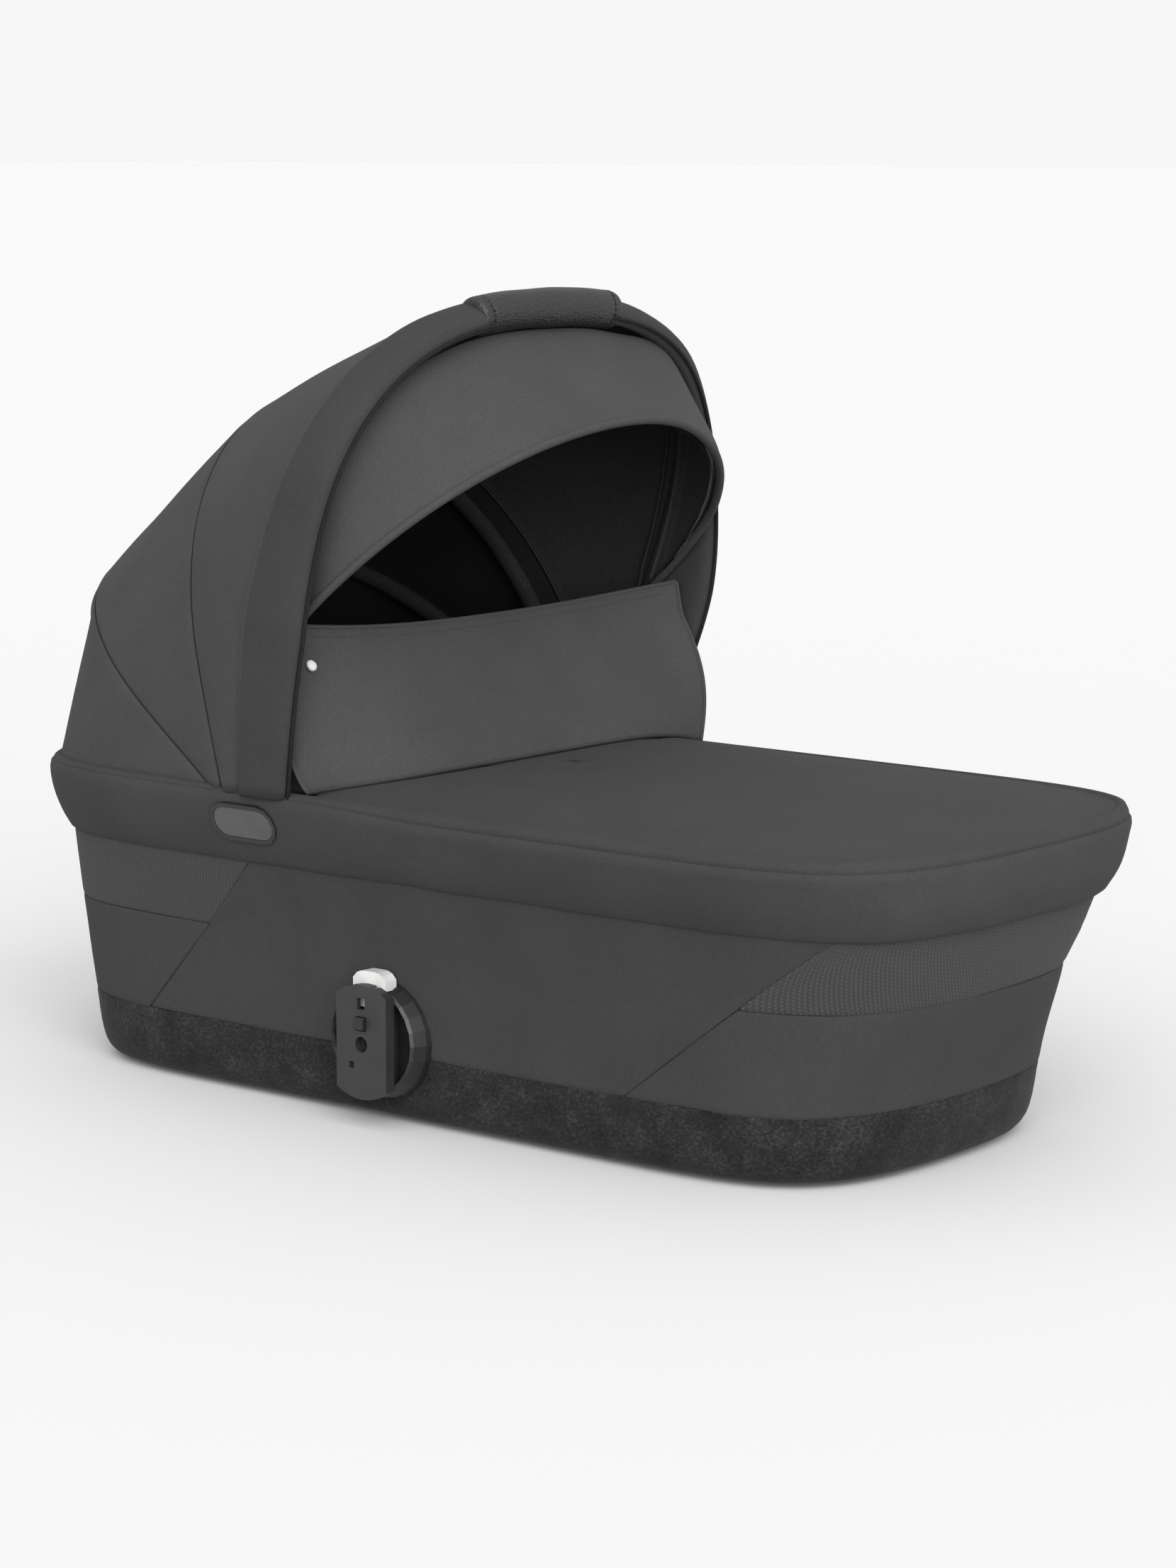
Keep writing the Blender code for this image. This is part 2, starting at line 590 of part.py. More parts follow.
def apron_and_band():
    """The apron over the foot half, and the band round the head half of the rim."""
    outer = lid_rings(0.0)
    inner = lid_rings(COVER_SKIN)
    apron = add("apron", loft(inner[::-1] + outer), CLOTH)
    back = -SEAM_HALF_LENGTH - BAND_BULGE - OVERRUN
    wide = SEAM_HALF_WIDTH + 2 * BAND_BULGE
    line = flap_line(17)
    behind = FLAP_X - FLAP_SWEEP
    outline = [(back, -wide), (behind, -wide)] + line + [(behind, wide), (back, wide)]
    low, high = SEAM_Z - COVER_SKIN, SEAM_Z + 4 * APRON_CROWN
    cutter = loft([[(x, y, z) for x, y in outline] for z in (low, high)])
    cut(apron, helper("flap_edge", cutter))
    outline = [(back, -wide), (BAND_SPLIT_X, -wide), (BAND_SPLIT_X, wide), (back, wide)]
    cutter = loft([[(x, y, z) for x, y in outline] for z in (SKIRT_Z - OVERRUN, high)])
    cut(apron, helper("apron_end", cutter))
    sections = [(z, bulge(z)) for z in skirt_heights()]
    band = skin("rim_band", sections, CLOTH)
    front = SEAM_HALF_LENGTH + BAND_BULGE + OVERRUN
    split = BAND_SPLIT_X - CLEARANCE
    outline = [(split, -wide), (front, -wide), (front, wide), (split, wide)]
    cutter = loft([[(x, y, z) for x, y in outline] for z in (SKIRT_Z - OVERRUN, high)])
    cut(band, helper("band_end", cutter))
    for word, side in SIDES.items():
        space = badge_space(word, side)
        cut(apron, space)
        cut(band, space)


def liner():
    face = SHELL_WALL + 2 * CLEARANCE
    floor = BASE_Z + FLOOR_THICKNESS + CLEARANCE
    heights = (BASE_Z + FLOOR_EDGE, MID_Z, KNIT_Z, SKIRT_Z - CLEARANCE)
    outer = [shell_face(z, face) for z in heights]
    inner = [shell_face(z, face + LINER_THICKNESS) for z in heights]
    outer[0][:, 2] += face / 2
    inner[0][:, 2] += face / 2 + LINER_THICKNESS
    bottom = shell_face(floor, FLOOR_EDGE + face)
    top = shell_face(floor + LINER_THICKNESS, FLOOR_EDGE + face + LINER_THICKNESS)
    return add("liner", loft([bottom] + outer + inner[::-1] + [top]), CLOTH_DARK)


def mattress():
    """A flat cushion with a crowned top and drawn-in sides."""
    low = BASE_Z + FLOOR_THICKNESS + LINER_THICKNESS + 2 * CLEARANCE
    edge = SHELL_WALL + LINER_THICKNESS + MATTRESS_GAP
    in_shares = (1.0, 0.0, 0.0, 1.0)
    up_shares = (0.0, 0.3, 0.7, 1.0)
    rings = []
    for inward, up in zip(in_shares, up_shares):
        height = low + up * MATTRESS_THICKNESS
        rings.append(shell_face(height, edge + FLOOR_EDGE + inward * MATTRESS_THICKNESS / 3, MID_Z / 4))
    top = rings[-1]
    centre = np.array([BASE_SHIFT, 0.0, 0.0])
    for inward in MATTRESS_TOP_SHARES:
        crowned = top * (1 - inward) + centre * inward
        crowned[:, 2] = low + MATTRESS_THICKNESS + MATTRESS_CROWN * (1 - (1 - inward) ** 2)
        rings.append(crowned)
    return add("mattress", loft(rings), CLOTH_DARK)


# Hoops


def arch_profile(hoop, spread, start):
    """Half widths and heights along the near half of an arch, from a start height to the crest."""
    low = np.linspace(start, hoop.widest, 30, endpoint=False)
    drawn = hoop.half_width + spread - hoop.draw_in * (1 - low / hoop.widest) ** DRAW_POWER
    angle = np.linspace(0, math.pi / 2, 160)
    half_width = (hoop.half_width + spread) * np.cos(angle) ** (2 / hoop.fullness)
    rise = (hoop.crest + spread - hoop.widest) * np.sin(angle) ** (2 / hoop.fullness)
    return np.concatenate([drawn, half_width]), np.concatenate([low, hoop.widest + rise])


def even(points, count):
    """Points at even steps along a line of points."""
    travelled = np.concatenate([[0.0], np.cumsum(np.linalg.norm(np.diff(points, axis=0), axis=1))])
    wanted = np.linspace(0.0, travelled[-1], count)
    return np.stack([np.interp(wanted, travelled, points[:, i]) for i in range(points.shape[1])], 1)


def hoop_axes(lean):
    """The direction from the pivot to a hoop's crest, and the one across it, forward."""
    angle = math.radians(lean)
    up = np.array([-math.sin(angle), 0, math.cos(angle)])
    return up, np.array([up[2], 0, -up[0]])


def arch(hoop, spread=0.0, fore=0.0, count=ARCH_POINTS, base_z=HOOD_BASE_Z):
    """An arch of cloth over a hoop, from the near side over the crest to the far side."""
    up, across = hoop_axes(hoop.lean)
    start = (base_z - PIVOT_Z - fore * across[2]) / up[2]
    width, height = arch_profile(hoop, spread, start)
    half = np.stack([-width, height], 1)
    whole = np.concatenate([half, (half * [-1, 1])[-2::-1]])
    whole = even(whole, count)
    pivot = np.array([PIVOT_X, 0.0, PIVOT_Z])
    return pivot + np.outer(whole[:, 1], up) + fore * across + np.outer(whole[:, 0], [0, 1, 0])


def eye_place(place):
    """Distances from the middle of the inner and outer face of a hoop's eye."""
    outer = RIM_WALL - SHELL_WALL - EYE_GAP - place * (EYE_THICKNESS + EYE_GAP)
    return outer - EYE_THICKNESS, outer


def hoop_line(hoop, count=29):
    """A hoop's centre line: a flat leg beside the wall, then out over the rim and round the arch."""
    inner, outer = eye_place(hoop.place)
    width, height = arch_profile(hoop, 0.0, EYE_RADIUS / 2)
    share = np.clip((height - hoop.out_from) / (hoop.out_to - hoop.out_from), 0, 1)
    share = share * share * (3 - 2 * share)
    width = (inner + outer) / 2 * (1 - share) + width * share
    half = np.stack([-width, height], 1)
    whole = np.concatenate([half, (half * [-1, 1])[-2::-1]])
    return even(whole, count)


def section(width, thickness, count=8, full_share=0.55):
    """A flat rounded section as pairs: across the hoop, and out from its centre line."""
    angles = math.pi / count + np.linspace(0, math.tau, count, endpoint=False)
    return [
        (
            width / 2 * math.copysign(abs(math.cos(a)) ** full_share, math.cos(a)),
            thickness / 2 * math.copysign(abs(math.sin(a)) ** full_share, math.sin(a)),
        )
        for a in angles
    ]


def swept(line, hoop, sections):
    """Rings of a section along a line in the hoop's plane."""
    up, across = hoop_axes(hoop.lean)
    tangent = np.gradient(line, axis=0)
    tangent /= np.linalg.norm(tangent, axis=1)[:, None]
    pivot = np.array([PIVOT_X, 0.0, PIVOT_Z])
    rings = []
    for (y, h), (ty, th), shape in zip(line, tangent, sections):
        out_y, out_h = -th, ty
        rings.append(
            [
                pivot + (h + n * out_h) * up + (y + n * out_y) * np.array([0, 1, 0]) + s * across
                for s, n in shape
            ]
        )
    return rings


def hoop_solid(hoop, look, parent):
    line = hoop_line(hoop)
    inner, outer = eye_place(hoop.place)
    sections = []
    for y, h in line:
        share = min(1.0, max(0.0, (h - hoop.out_from) / (hoop.out_to - hoop.out_from)))
        width = LEG_WIDTH + (hoop.width - LEG_WIDTH) * share
        thickness = EYE_THICKNESS + (hoop.thickness - EYE_THICKNESS) * share
        sections.append(section(width, thickness, hoop.sides))
    solid = add(hoop.name, loft(swept(line, hoop, sections)), look, parent)
    for word, side in SIDES.items():
        eye = prism(circle(EYE_RADIUS, (PIVOT_X, PIVOT_Z), 20), inner, outer, side)
        join(solid, helper(f"{hoop.name}_eye_{word}", eye))
        if hoop.place == 0:
            end = outer + DRUM_LENGTH
            barrel = circle(DRUM_RADIUS, (PIVOT_X, PIVOT_Z), 32)
            barrel = prism(barrel, inner + EYE_THICKNESS / 2, end, side)
            join(solid, helper(f"drum_{word}", barrel))
            teeth = wedges(end - TOOTH_HEIGHT, end + TOOTH_HEIGHT, side, 0.0)
            join(solid, helper(f"drum_teeth_{word}", teeth))
        bore = circle(PIN_RADIUS + CLEARANCE, (PIVOT_X, PIVOT_Z), 16)
        bore = prism(bore, inner - OVERRUN / 4, outer + DRUM_LENGTH + TOOTH_HEIGHT + OVERRUN, side)
        cut(solid, helper(f"{hoop.name}_bore_{word}", bore))
    return solid


def in_side_frame(made, centre, side):
    """Stands an object's local Z straight out from a side wall, at a centre in X and Z."""
    made.location = (centre[0], 0, centre[1])
    made.rotation_euler = (-side * math.pi / 2, 0, 0)
    return made


def turned(name, profile, centre, side, look, steps=32, parent=None):
    """A turned piece on an axis along Y. The profile is radius and distance from the middle."""
    bm = bmesh.new()
    corners = [bm.verts.new((radius, 0, depth)) for radius, depth in profile]
    for first, second in zip(corners, corners[1:]):
        bm.edges.new((first, second))
    mesh = bpy.data.meshes.new(name)
    bm.to_mesh(mesh)
    bm.free()
    made = bpy.data.objects.new(name, mesh)
    made.data.materials.append(material(name, *look))
    PART.objects.link(made)
    in_side_frame(made, centre, side)
    screw = made.modifiers.new("turn", "SCREW")
    screw.steps = screw.render_steps = steps
    screw.use_merge_vertices = True
    screw.merge_threshold = MERGE_DISTANCE
    screw.use_smooth_shade = True
    made.parent = parent
    if parent:
        made.matrix_parent_inverse = Matrix.Translation(parent.location).inverted()
    return made


def across_x(outline, half_width, side, centre=(0.0, 0.0, 0.0)):
    """An outline of distances out and up, drawn along X to both sides of a centre."""
    rings = [
        [(centre[0] + x, side * (centre[1] + out), centre[2] + up) for out, up in outline]
        for x in (-half_width, half_width)
    ]
    return loft(rings)


def wedges(low, high, side, turn):
    """Face teeth: a ring of separate wedges with a little more room between them."""
    bm = bmesh.new()
    step = math.tau / TOOTH_COUNT
    inner_radius = PIN_RADIUS + 2 * TOOTH_HEIGHT
    outer_radius = DRUM_RADIUS - CLEARANCE
    for i in range(TOOTH_COUNT):
        start = (i + turn) * step
        stop = start + TOOTH_SHARE * step
        corners = [(inner_radius, start), (outer_radius, start)]
        corners += [(outer_radius, stop), (inner_radius, stop)]
        rows = []
        for depth in (low, high):
            row = [
                (PIVOT_X + r * math.cos(a), side * depth, PIVOT_Z + r * math.sin(a))
                for r, a in corners
            ]
            rows.append([bm.verts.new(point) for point in row])
        for k in range(4):
            after = (k + 1) % 4
            bm.faces.new((rows[0][k], rows[0][after], rows[1][after], rows[1][k]))
        bm.faces.new(rows[0][::-1])
        bm.faces.new(rows[1])
    return bm


def hinges(axis):
    """Each hinge: a hollow pin, a sprung lock ring, a housing with the badge, and a push button."""
    pivot = (PIVOT_X, PIVOT_Z)
    stack_inner = eye_place(REAR.place)[0]
    drum_face = eye_place(FRONT.place)[1] + DRUM_LENGTH
    ring_face = drum_face + 2 * TOOTH_HEIGHT + TOOTH_TIP_GAP
    ring_back = ring_face + LOCK_RING_DEPTH
    cavity_back = ring_back + 2 * CLEARANCE + LOCK_SPRING_LENGTH
    badge_back = wall_at(PIVOT_X, PIVOT_Z, bulge(PIVOT_Z)) - BADGE_THICKNESS / 2
    bar_half = LOCK_RING_RADIUS * LOCK_BAR_SHARE
    for word, side in SIDES.items():
        pin_head = stack_inner - CLEARANCE
        pin_end = cavity_back + PIN_HEAD - CLEARANCE
        pin = turned(
            f"hinge_pin_{word}",
            [
                (PIN_BORE, pin_end),
                (PIN_RADIUS, pin_end),
                (PIN_RADIUS, pin_head),
                (PIN_HEAD_RADIUS, pin_head),
                (PIN_HEAD_RADIUS, pin_head - PIN_HEAD),
                (PIN_BORE, pin_head - PIN_HEAD),
                (PIN_BORE, pin_end),
            ],
            pivot,
            side,
            STEEL,
            20,
        )
        slot = rectangle(2 * PIN_RADIUS + OVERRUN, LOCK_BAR + 4 * CLEARANCE, pivot)
        bar_low = ring_face + CLEARANCE
        bar_high = bar_low + LOCK_BAR
        slot = prism(slot, bar_low - CLEARANCE, bar_high + LOCK_TRAVEL + CLEARANCE, side)
        cut(pin, helper(f"pin_slot_{word}", slot))

        lock_ring = add(
            f"lock_ring_{word}",
            prism(circle(LOCK_RING_RADIUS, pivot, 24), ring_face, ring_back, side),
            STEEL,
            axis,
        )
        teeth = wedges(ring_face - TOOTH_HEIGHT, ring_face + TOOTH_HEIGHT, side, 0.5)
        join(lock_ring, helper(f"ring_teeth_{word}", teeth))
        bore = prism(
            circle(PIN_RADIUS + CLEARANCE, pivot, 20),
            ring_face - OVERRUN, ring_back + OVERRUN, side,
        )
        cut(lock_ring, helper(f"ring_bore_{word}", bore))
        bar_room = rectangle(2 * bar_half + 2 * CLEARANCE, LOCK_BAR + 2 * CLEARANCE, pivot)
        bar_room = prism(bar_room, ring_face - OVERRUN / 2, bar_high + CLEARANCE, side)
        cut(lock_ring, helper(f"ring_slot_{word}", bar_room))
        for k in range(LOCK_LUG_COUNT):
            angle = math.tau * (k / LOCK_LUG_COUNT + LOCK_LUG_TURN_SHARE)
            middle = (
                PIVOT_X + LOCK_RING_RADIUS * math.cos(angle),
                PIVOT_Z + LOCK_RING_RADIUS * math.sin(angle),
            )
            lug = prism(circle(LOCK_LUG / 2, middle, 8), ring_face, ring_back, side)
            join(lock_ring, helper(f"ring_lug_{word}_{k}", lug))

        spring(
            f"lock_spring_{word}",
            (PIVOT_X, side * (ring_back + CLEARANCE), PIVOT_Z),
            (0, side, 0),
            LOCK_SPRING_RADIUS,
            LOCK_SPRING_LENGTH,
            LOCK_SPRING_TURNS,
            STEEL,
            axis,
        )

        outline = stadium(
            BADGE_LENGTH - 2 * HOUSING_INSET, BADGE_HEIGHT - 2 * HOUSING_INSET, pivot
        )
        housing = add(
            f"hinge_housing_{word}",
            prism(outline, RIM_WALL + CLEARANCE, badge_back + BADGE_HEIGHT / 4, side),
            PLASTIC,
        )
        room = circle(LOCK_RING_RADIUS + 2 * CLEARANCE, pivot, 32)
        room = helper(f"lock_room_{word}", prism(room, RIM_WALL, cavity_back, side))
        cut(housing, room)
        for k in range(LOCK_LUG_COUNT):
            angle = math.tau * (k / LOCK_LUG_COUNT + LOCK_LUG_TURN_SHARE)
            middle = (
                PIVOT_X + LOCK_RING_RADIUS * math.cos(angle),
                PIVOT_Z + LOCK_RING_RADIUS * math.sin(angle),
            )
            groove = circle(LOCK_LUG / 2 + 2 * CLEARANCE, middle, 8)
            groove = prism(groove, RIM_WALL, cavity_back, side)
            cut(housing, helper(f"lug_groove_{word}_{k}", groove))
        seat = circle(PIN_RADIUS + CLEARANCE, pivot, 20)
        seat = prism(seat, cavity_back - OVERRUN / 4, pin_end + CLEARANCE, side)
        cut(housing, helper(f"pin_seat_{word}", seat))
        cut(housing, tilted(f"badge_plane_{word}", rectangle, BADGE_LENGTH, badge_back - CLEARANCE,
                            badge_back + BADGE_LENGTH, side, 2 * BADGE_HEIGHT))

        badge(word, side, badge_back)

        head_out = pin_head - PIN_HEAD - LOCK_TRAVEL - 2 * CLEARANCE
        button = turned(
            f"hood_button_{word}",
            [
                (0, bar_high),
                (PIN_BORE - CLEARANCE, bar_high),
                (PIN_BORE - CLEARANCE, head_out),
                (HINGE_BUTTON_RADIUS, head_out),
                (HINGE_BUTTON_RADIUS, head_out - HINGE_BUTTON_DEPTH * BUTTON_SIDE_SHARE),
                (HINGE_BUTTON_RADIUS * BUTTON_CROWN_SHARE, head_out - HINGE_BUTTON_DEPTH),
                (0, head_out - HINGE_BUTTON_DEPTH),
            ],
            pivot,
            side,
            PLASTIC_GREY,
            24,
            axis,
        )
        bar = prism(rectangle(2 * bar_half, LOCK_BAR, pivot), bar_low, bar_high, side)
        join(button, helper(f"button_bar_{word}", bar))


def tilted(name, outline_of, length, low, high, side, height):
    """A block or plate that follows the slope of the rim band at the badge."""
    outline = outline_of(length, height, (0.0, 0.0))
    up = Vector((0, side * math.sin(BADGE_TILT), math.cos(BADGE_TILT)))
    out = Vector((0, side * math.cos(BADGE_TILT), -math.sin(BADGE_TILT)))
    base = Vector((PIVOT_X, 0, PIVOT_Z))
    middle = wall_at(PIVOT_X, PIVOT_Z, bulge(PIVOT_Z))
    start = base + Vector((0, side * middle, 0))
    rings = [
        [start + Vector((x, 0, 0)) + z * up + (depth - middle) * out for x, z in outline]
        for depth in (low, high)
    ]
    return loft(rings) if name is None else helper(name, loft(rings))


def badge(word, side, back):
    """A badge with a dark ring round a plain grey face."""
    front = back + BADGE_THICKNESS
    ring_piece = add(
        f"badge_ring_{word}",
        tilted(None, stadium, BADGE_LENGTH, back, front, side, BADGE_HEIGHT),
        PLASTIC,
    )
    length, height = BADGE_LENGTH - 2 * BADGE_RIM, BADGE_HEIGHT - 2 * BADGE_RIM
    room = (length + 2 * CLEARANCE, height + 2 * CLEARANCE)
    cut(ring_piece, tilted(f"badge_recess_{word}", stadium, room[0], front - BADGE_FACE_DEPTH,
                           front + OVERRUN, side, room[1]))
    add(
        f"badge_face_{word}",
        tilted(None, stadium, length, front - BADGE_FACE_DEPTH + CLEARANCE,
               front - CLEARANCE, side, height),
        PLASTIC_GREY,
    )


# Hood cloth


def facing(bm, middle):
    """Turns an open sheet's faces away from a point."""
    bm.normal_update()
    outward = sum(
        face.normal.dot(face.calc_center_median() - middle) * face.calc_area() for face in bm.faces
    )
    if outward < 0:
        bmesh.ops.reverse_faces(bm, faces=bm.faces)
    return bm


def cloth(name, rows, look, parent, thickness=HOOD_SKIN, middle=None):
    """A piece of cloth through rows of points, with its thickness inwards."""
    middle = Vector((PIVOT_X, 0, PIVOT_Z)) if middle is None else middle
    bm = facing(sheet(rows), middle)
    mesh = bpy.data.meshes.new(name)
    bm.to_mesh(mesh)
    bm.free()
    mesh.shade_smooth()
    made = bpy.data.objects.new(name, mesh)
    made.data.materials.append(material(name, *look))
    PART.objects.link(made)
    made.parent = parent
    if parent:
        made.matrix_parent_inverse = Matrix.Translation(parent.location).inverted()
    return thicken(made, thickness)


def between(first, last, count, first_gap=0.0, last_gap=0.0):
    """Rows of points from one line to another, with room left at each line."""
    span = np.linalg.norm(last - first, axis=1, keepdims=True)
    most_share = 0.4
    start = np.minimum(first_gap / span, most_share)
    stop = 1 - np.minimum(last_gap / span, most_share)
    return [first + (start + s * (stop - start)) * (last - first) for s in np.linspace(0, 1, count)]


def rim_line():
    """The rim under the hood, from the near side round the head end to the far side."""
    points = ring(HOOD_BASE_Z, -HOOD_RIM_INSET, SEAM_Z)
    head = points[points[:, 0] < PIVOT_X - HOOD_RIM_START]
    order = np.argsort(np.arctan2(head[:, 1], -head[:, 0]))
    head = head[order]
    near = [PIVOT_X - HOOD_RIM_START, -wall_at(PIVOT_X, SEAM_Z, -HOOD_RIM_INSET), HOOD_BASE_Z]
    far = [near[0], -near[1], HOOD_BASE_Z]
    return even(np.vstack([near, head, far]), ARCH_POINTS)


def edge_shift(height, low, mid, top):
    """How far an edge of the front band lies from its hoop, by height above the pivot."""
    heights = [HOOD_BASE_Z - PIVOT_Z, BAND_MID_HEIGHT, FRONT.crest]
    return np.interp(height, heights, [low, mid, top])


def front_row(side_share, lift, half=None, count=ARCH_POINTS):
    """A line of cloth along the front hoop. The share runs from -1 at the rear edge to 1 in front."""
    up, across = hoop_axes(FRONT.lean)
    if side_share < 0:
        low, mid, top = -BAND_REAR_LOW, -BAND_REAR_MID, -BAND_REAR_TOP
    else:
        low, mid, top = BAND_FRONT_LOW, BAND_FRONT_MID, BAND_FRONT_TOP
    share = abs(side_share)
    start = (HOOD_BASE_Z - PIVOT_Z - share * low * across[2]) / up[2]
    width, height = arch_profile(FRONT, lift, start)
    shift = share * edge_shift(height, low, mid, top)
    if half is not None:
        keep = width > GRIP_HALF_LENGTH + 2 * CLEARANCE
        width, height, shift = width[keep], height[keep], shift[keep]
        line = np.stack([half * width, height, shift], 1)
        line = even(line, count)
    else:
        one = np.stack([-width, height, shift], 1)
        line = even(np.concatenate([one, (one * [-1, 1, 1])[-2::-1]]), count)
    pivot = np.array([PIVOT_X, 0.0, PIVOT_Z])
    points = pivot + np.outer(line[:, 1], up) + np.outer(line[:, 2], across)
    points[:, 1] += line[:, 0]
    return points


BAND_SHARES = (
    (-0.95, 0.25), (-0.6, 0.8), (-0.2, 1.0), (0.3, 1.0), (0.75, 0.75), (1.0, 0.0), (0.85, -0.8),
)


def hood(axis, visor_axis):
    """Three hoops on one axis, the cloth between them, the front band and the grip."""
    for hoop, look in ((REAR, PLASTIC), (MID, PLASTIC), (FRONT, ALLOY)):
        hoop_solid(hoop, look, axis)
    over = HOOP_THICKNESS / 2 + 5 * CLEARANCE + HOOD_SKIN
    edge = HOOP_WIDTH / 2
    seam = CLOTH_GAP / 2
    rear_edge, rear_seam = arch(REAR, over, -edge), arch(REAR, over, -seam)
    cloth("hood_rear_panel", between(rim_line(), rear_edge, 3) + [rear_seam], CLOTH, axis)
    rows = between(arch(REAR, over, edge), arch(MID, over, -edge), 2)
    rows = [arch(REAR, over, seam)] + rows + [arch(MID, over, -seam)]
    cloth("hood_mid_panel", rows, CLOTH, axis)
    rows = between(arch(MID, over, edge), front_row(-1, CLEARANCE), 3, 0.0, 2 * CLOTH_GAP)
    cloth("hood_front_panel", [arch(MID, over, seam)] + rows, CLOTH, axis)
    for word, side in SIDES.items():
        rows = [front_row(share, lift * BAND_LIFT, side, 14) for share, lift in BAND_SHARES]
        up, across = hoop_axes(FRONT.lean)
        centre = Vector((PIVOT_X, 0, PIVOT_Z)) + FRONT.crest / 2 * Vector(up)
        cloth(f"front_band_{word}", rows, CLOTH, axis, HOOD_SKIN, centre)
    grip(axis)
    visor(axis, visor_axis)


def grip(axis):
    """A padded round grip over the middle of the front hoop."""
    line = hoop_line(FRONT, 241)
    line = line[np.abs(line[:, 0]) < GRIP_HALF_LENGTH]
    line = line[line[:, 1] > FRONT.widest]
    line = even(line, 9)
    shares = GRIP_END_SHARES
    outer_sections, inner_sections = [], []
    for i in range(len(line)):
        from_end = min(i, len(line) - 1 - i)
        radius = GRIP_RADIUS * (shares[from_end] if from_end < len(shares) else 1.0)
        outer_sections.append(section(2 * radius, 2 * radius, GRIP_SIDES, 1.0))
        bore = section(
            FRONT.width + 8 * CLEARANCE, FRONT.thickness + 8 * CLEARANCE, GRIP_SIDES
        )
        inner_sections.append(bore)
    outer = swept(line, FRONT, outer_sections)
    inner = swept(line, FRONT, inner_sections)
    add("grip", loft(outer + inner[::-1], closed=True), LEATHERETTE, axis)


def visor_line(inset=0.0, count=23):
    """The visor's wire in its own plane, from the near pivot over the crest to the far one."""
    angle = np.linspace(0, math.pi, 241)
    share = 2 / VISOR_FULLNESS
    y = -(VISOR_HALF_WIDTH - inset) * np.sign(np.cos(angle)) * np.abs(np.cos(angle)) ** share
    reach = (VISOR_REACH - inset) * np.sin(angle) ** share
    pitch = math.radians(VISOR_PITCH)
    points = np.stack(
        [VISOR_PIVOT_X + reach * math.cos(pitch), y, VISOR_PIVOT_Z + reach * math.sin(pitch)], 1
    )
    return even(points, count)


def visor(hood_axis, visor_axis):
    """A wire arch on two bushes, with cloth back to the front hoop."""
    line = visor_line()
    end = BUSH_FACE + BUSH_LENGTH - CLEARANCE
    ends = [np.array([[VISOR_PIVOT_X, side * end, VISOR_PIVOT_Z]]) for side in (-1, 1)]
    points = np.vstack([ends[0], line, ends[1]])
    curve = bpy.data.curves.new("visor_wire", "CURVE")
    curve.dimensions = "3D"
    curve.bevel_depth = VISOR_WIRE_RADIUS
    curve.bevel_resolution = 1
    curve.render_resolution_u = 0
    curve.use_fill_caps = True
    spline = curve.splines.new("POLY")
    spline.points.add(len(points) - 1)
    for i, point in enumerate(points):
        spline.points[i].co = (*point, 1)
    wire = bpy.data.objects.new("visor_wire", curve)
    curve.materials.append(material("visor_wire", *STEEL))
    PART.objects.link(wire)
    wire.parent = visor_axis
    wire.matrix_parent_inverse = Matrix.Translation(visor_axis.location).inverted()
    pivot = (VISOR_PIVOT_X, VISOR_PIVOT_Z)
    for word, side in SIDES.items():
        bore = VISOR_WIRE_RADIUS + CLEARANCE
        turned(
            f"visor_bush_{word}",
            [
                (bore, BUSH_FACE + BUSH_LENGTH),
                (BUSH_RADIUS, BUSH_FACE + BUSH_LENGTH),
                (BUSH_RADIUS, BUSH_FACE),
                (bore, BUSH_FACE),
                (bore, BUSH_FACE + BUSH_LENGTH),
            ],
            pivot,
            side,
            PLASTIC,
            16,
            hood_axis,
        )
    edge = visor_line(VISOR_WIRE_RADIUS + 2 * CLEARANCE, ARCH_POINTS)
    up, across = hoop_axes(FRONT.lean)
    pivot_height = (VISOR_PIVOT_X - PIVOT_X) * up[0] + (VISOR_PIVOT_Z - PIVOT_Z) * up[2]
    width, height = arch_profile(FRONT, -VISOR_ROOT_INSET, pivot_height + 2 * VISOR_WIRE_RADIUS)
    half = np.stack([-width, height], 1)
    whole = even(np.concatenate([half, (half * [-1, 1])[-2::-1]]), ARCH_POINTS)
    root = np.array([PIVOT_X, 0.0, PIVOT_Z]) + np.outer(whole[:, 1], up) + VISOR_ROOT_FORE * across
    root[:, 1] += whole[:, 0]
    ends_in = slice(1, -1)
    rows = between(root[ends_in], edge[ends_in], 4)
    middle = Vector((VISOR_PIVOT_X, 0, VISOR_PIVOT_Z))
    cloth("visor", rows, CLOTH, visor_axis, HOOD_SKIN, middle)


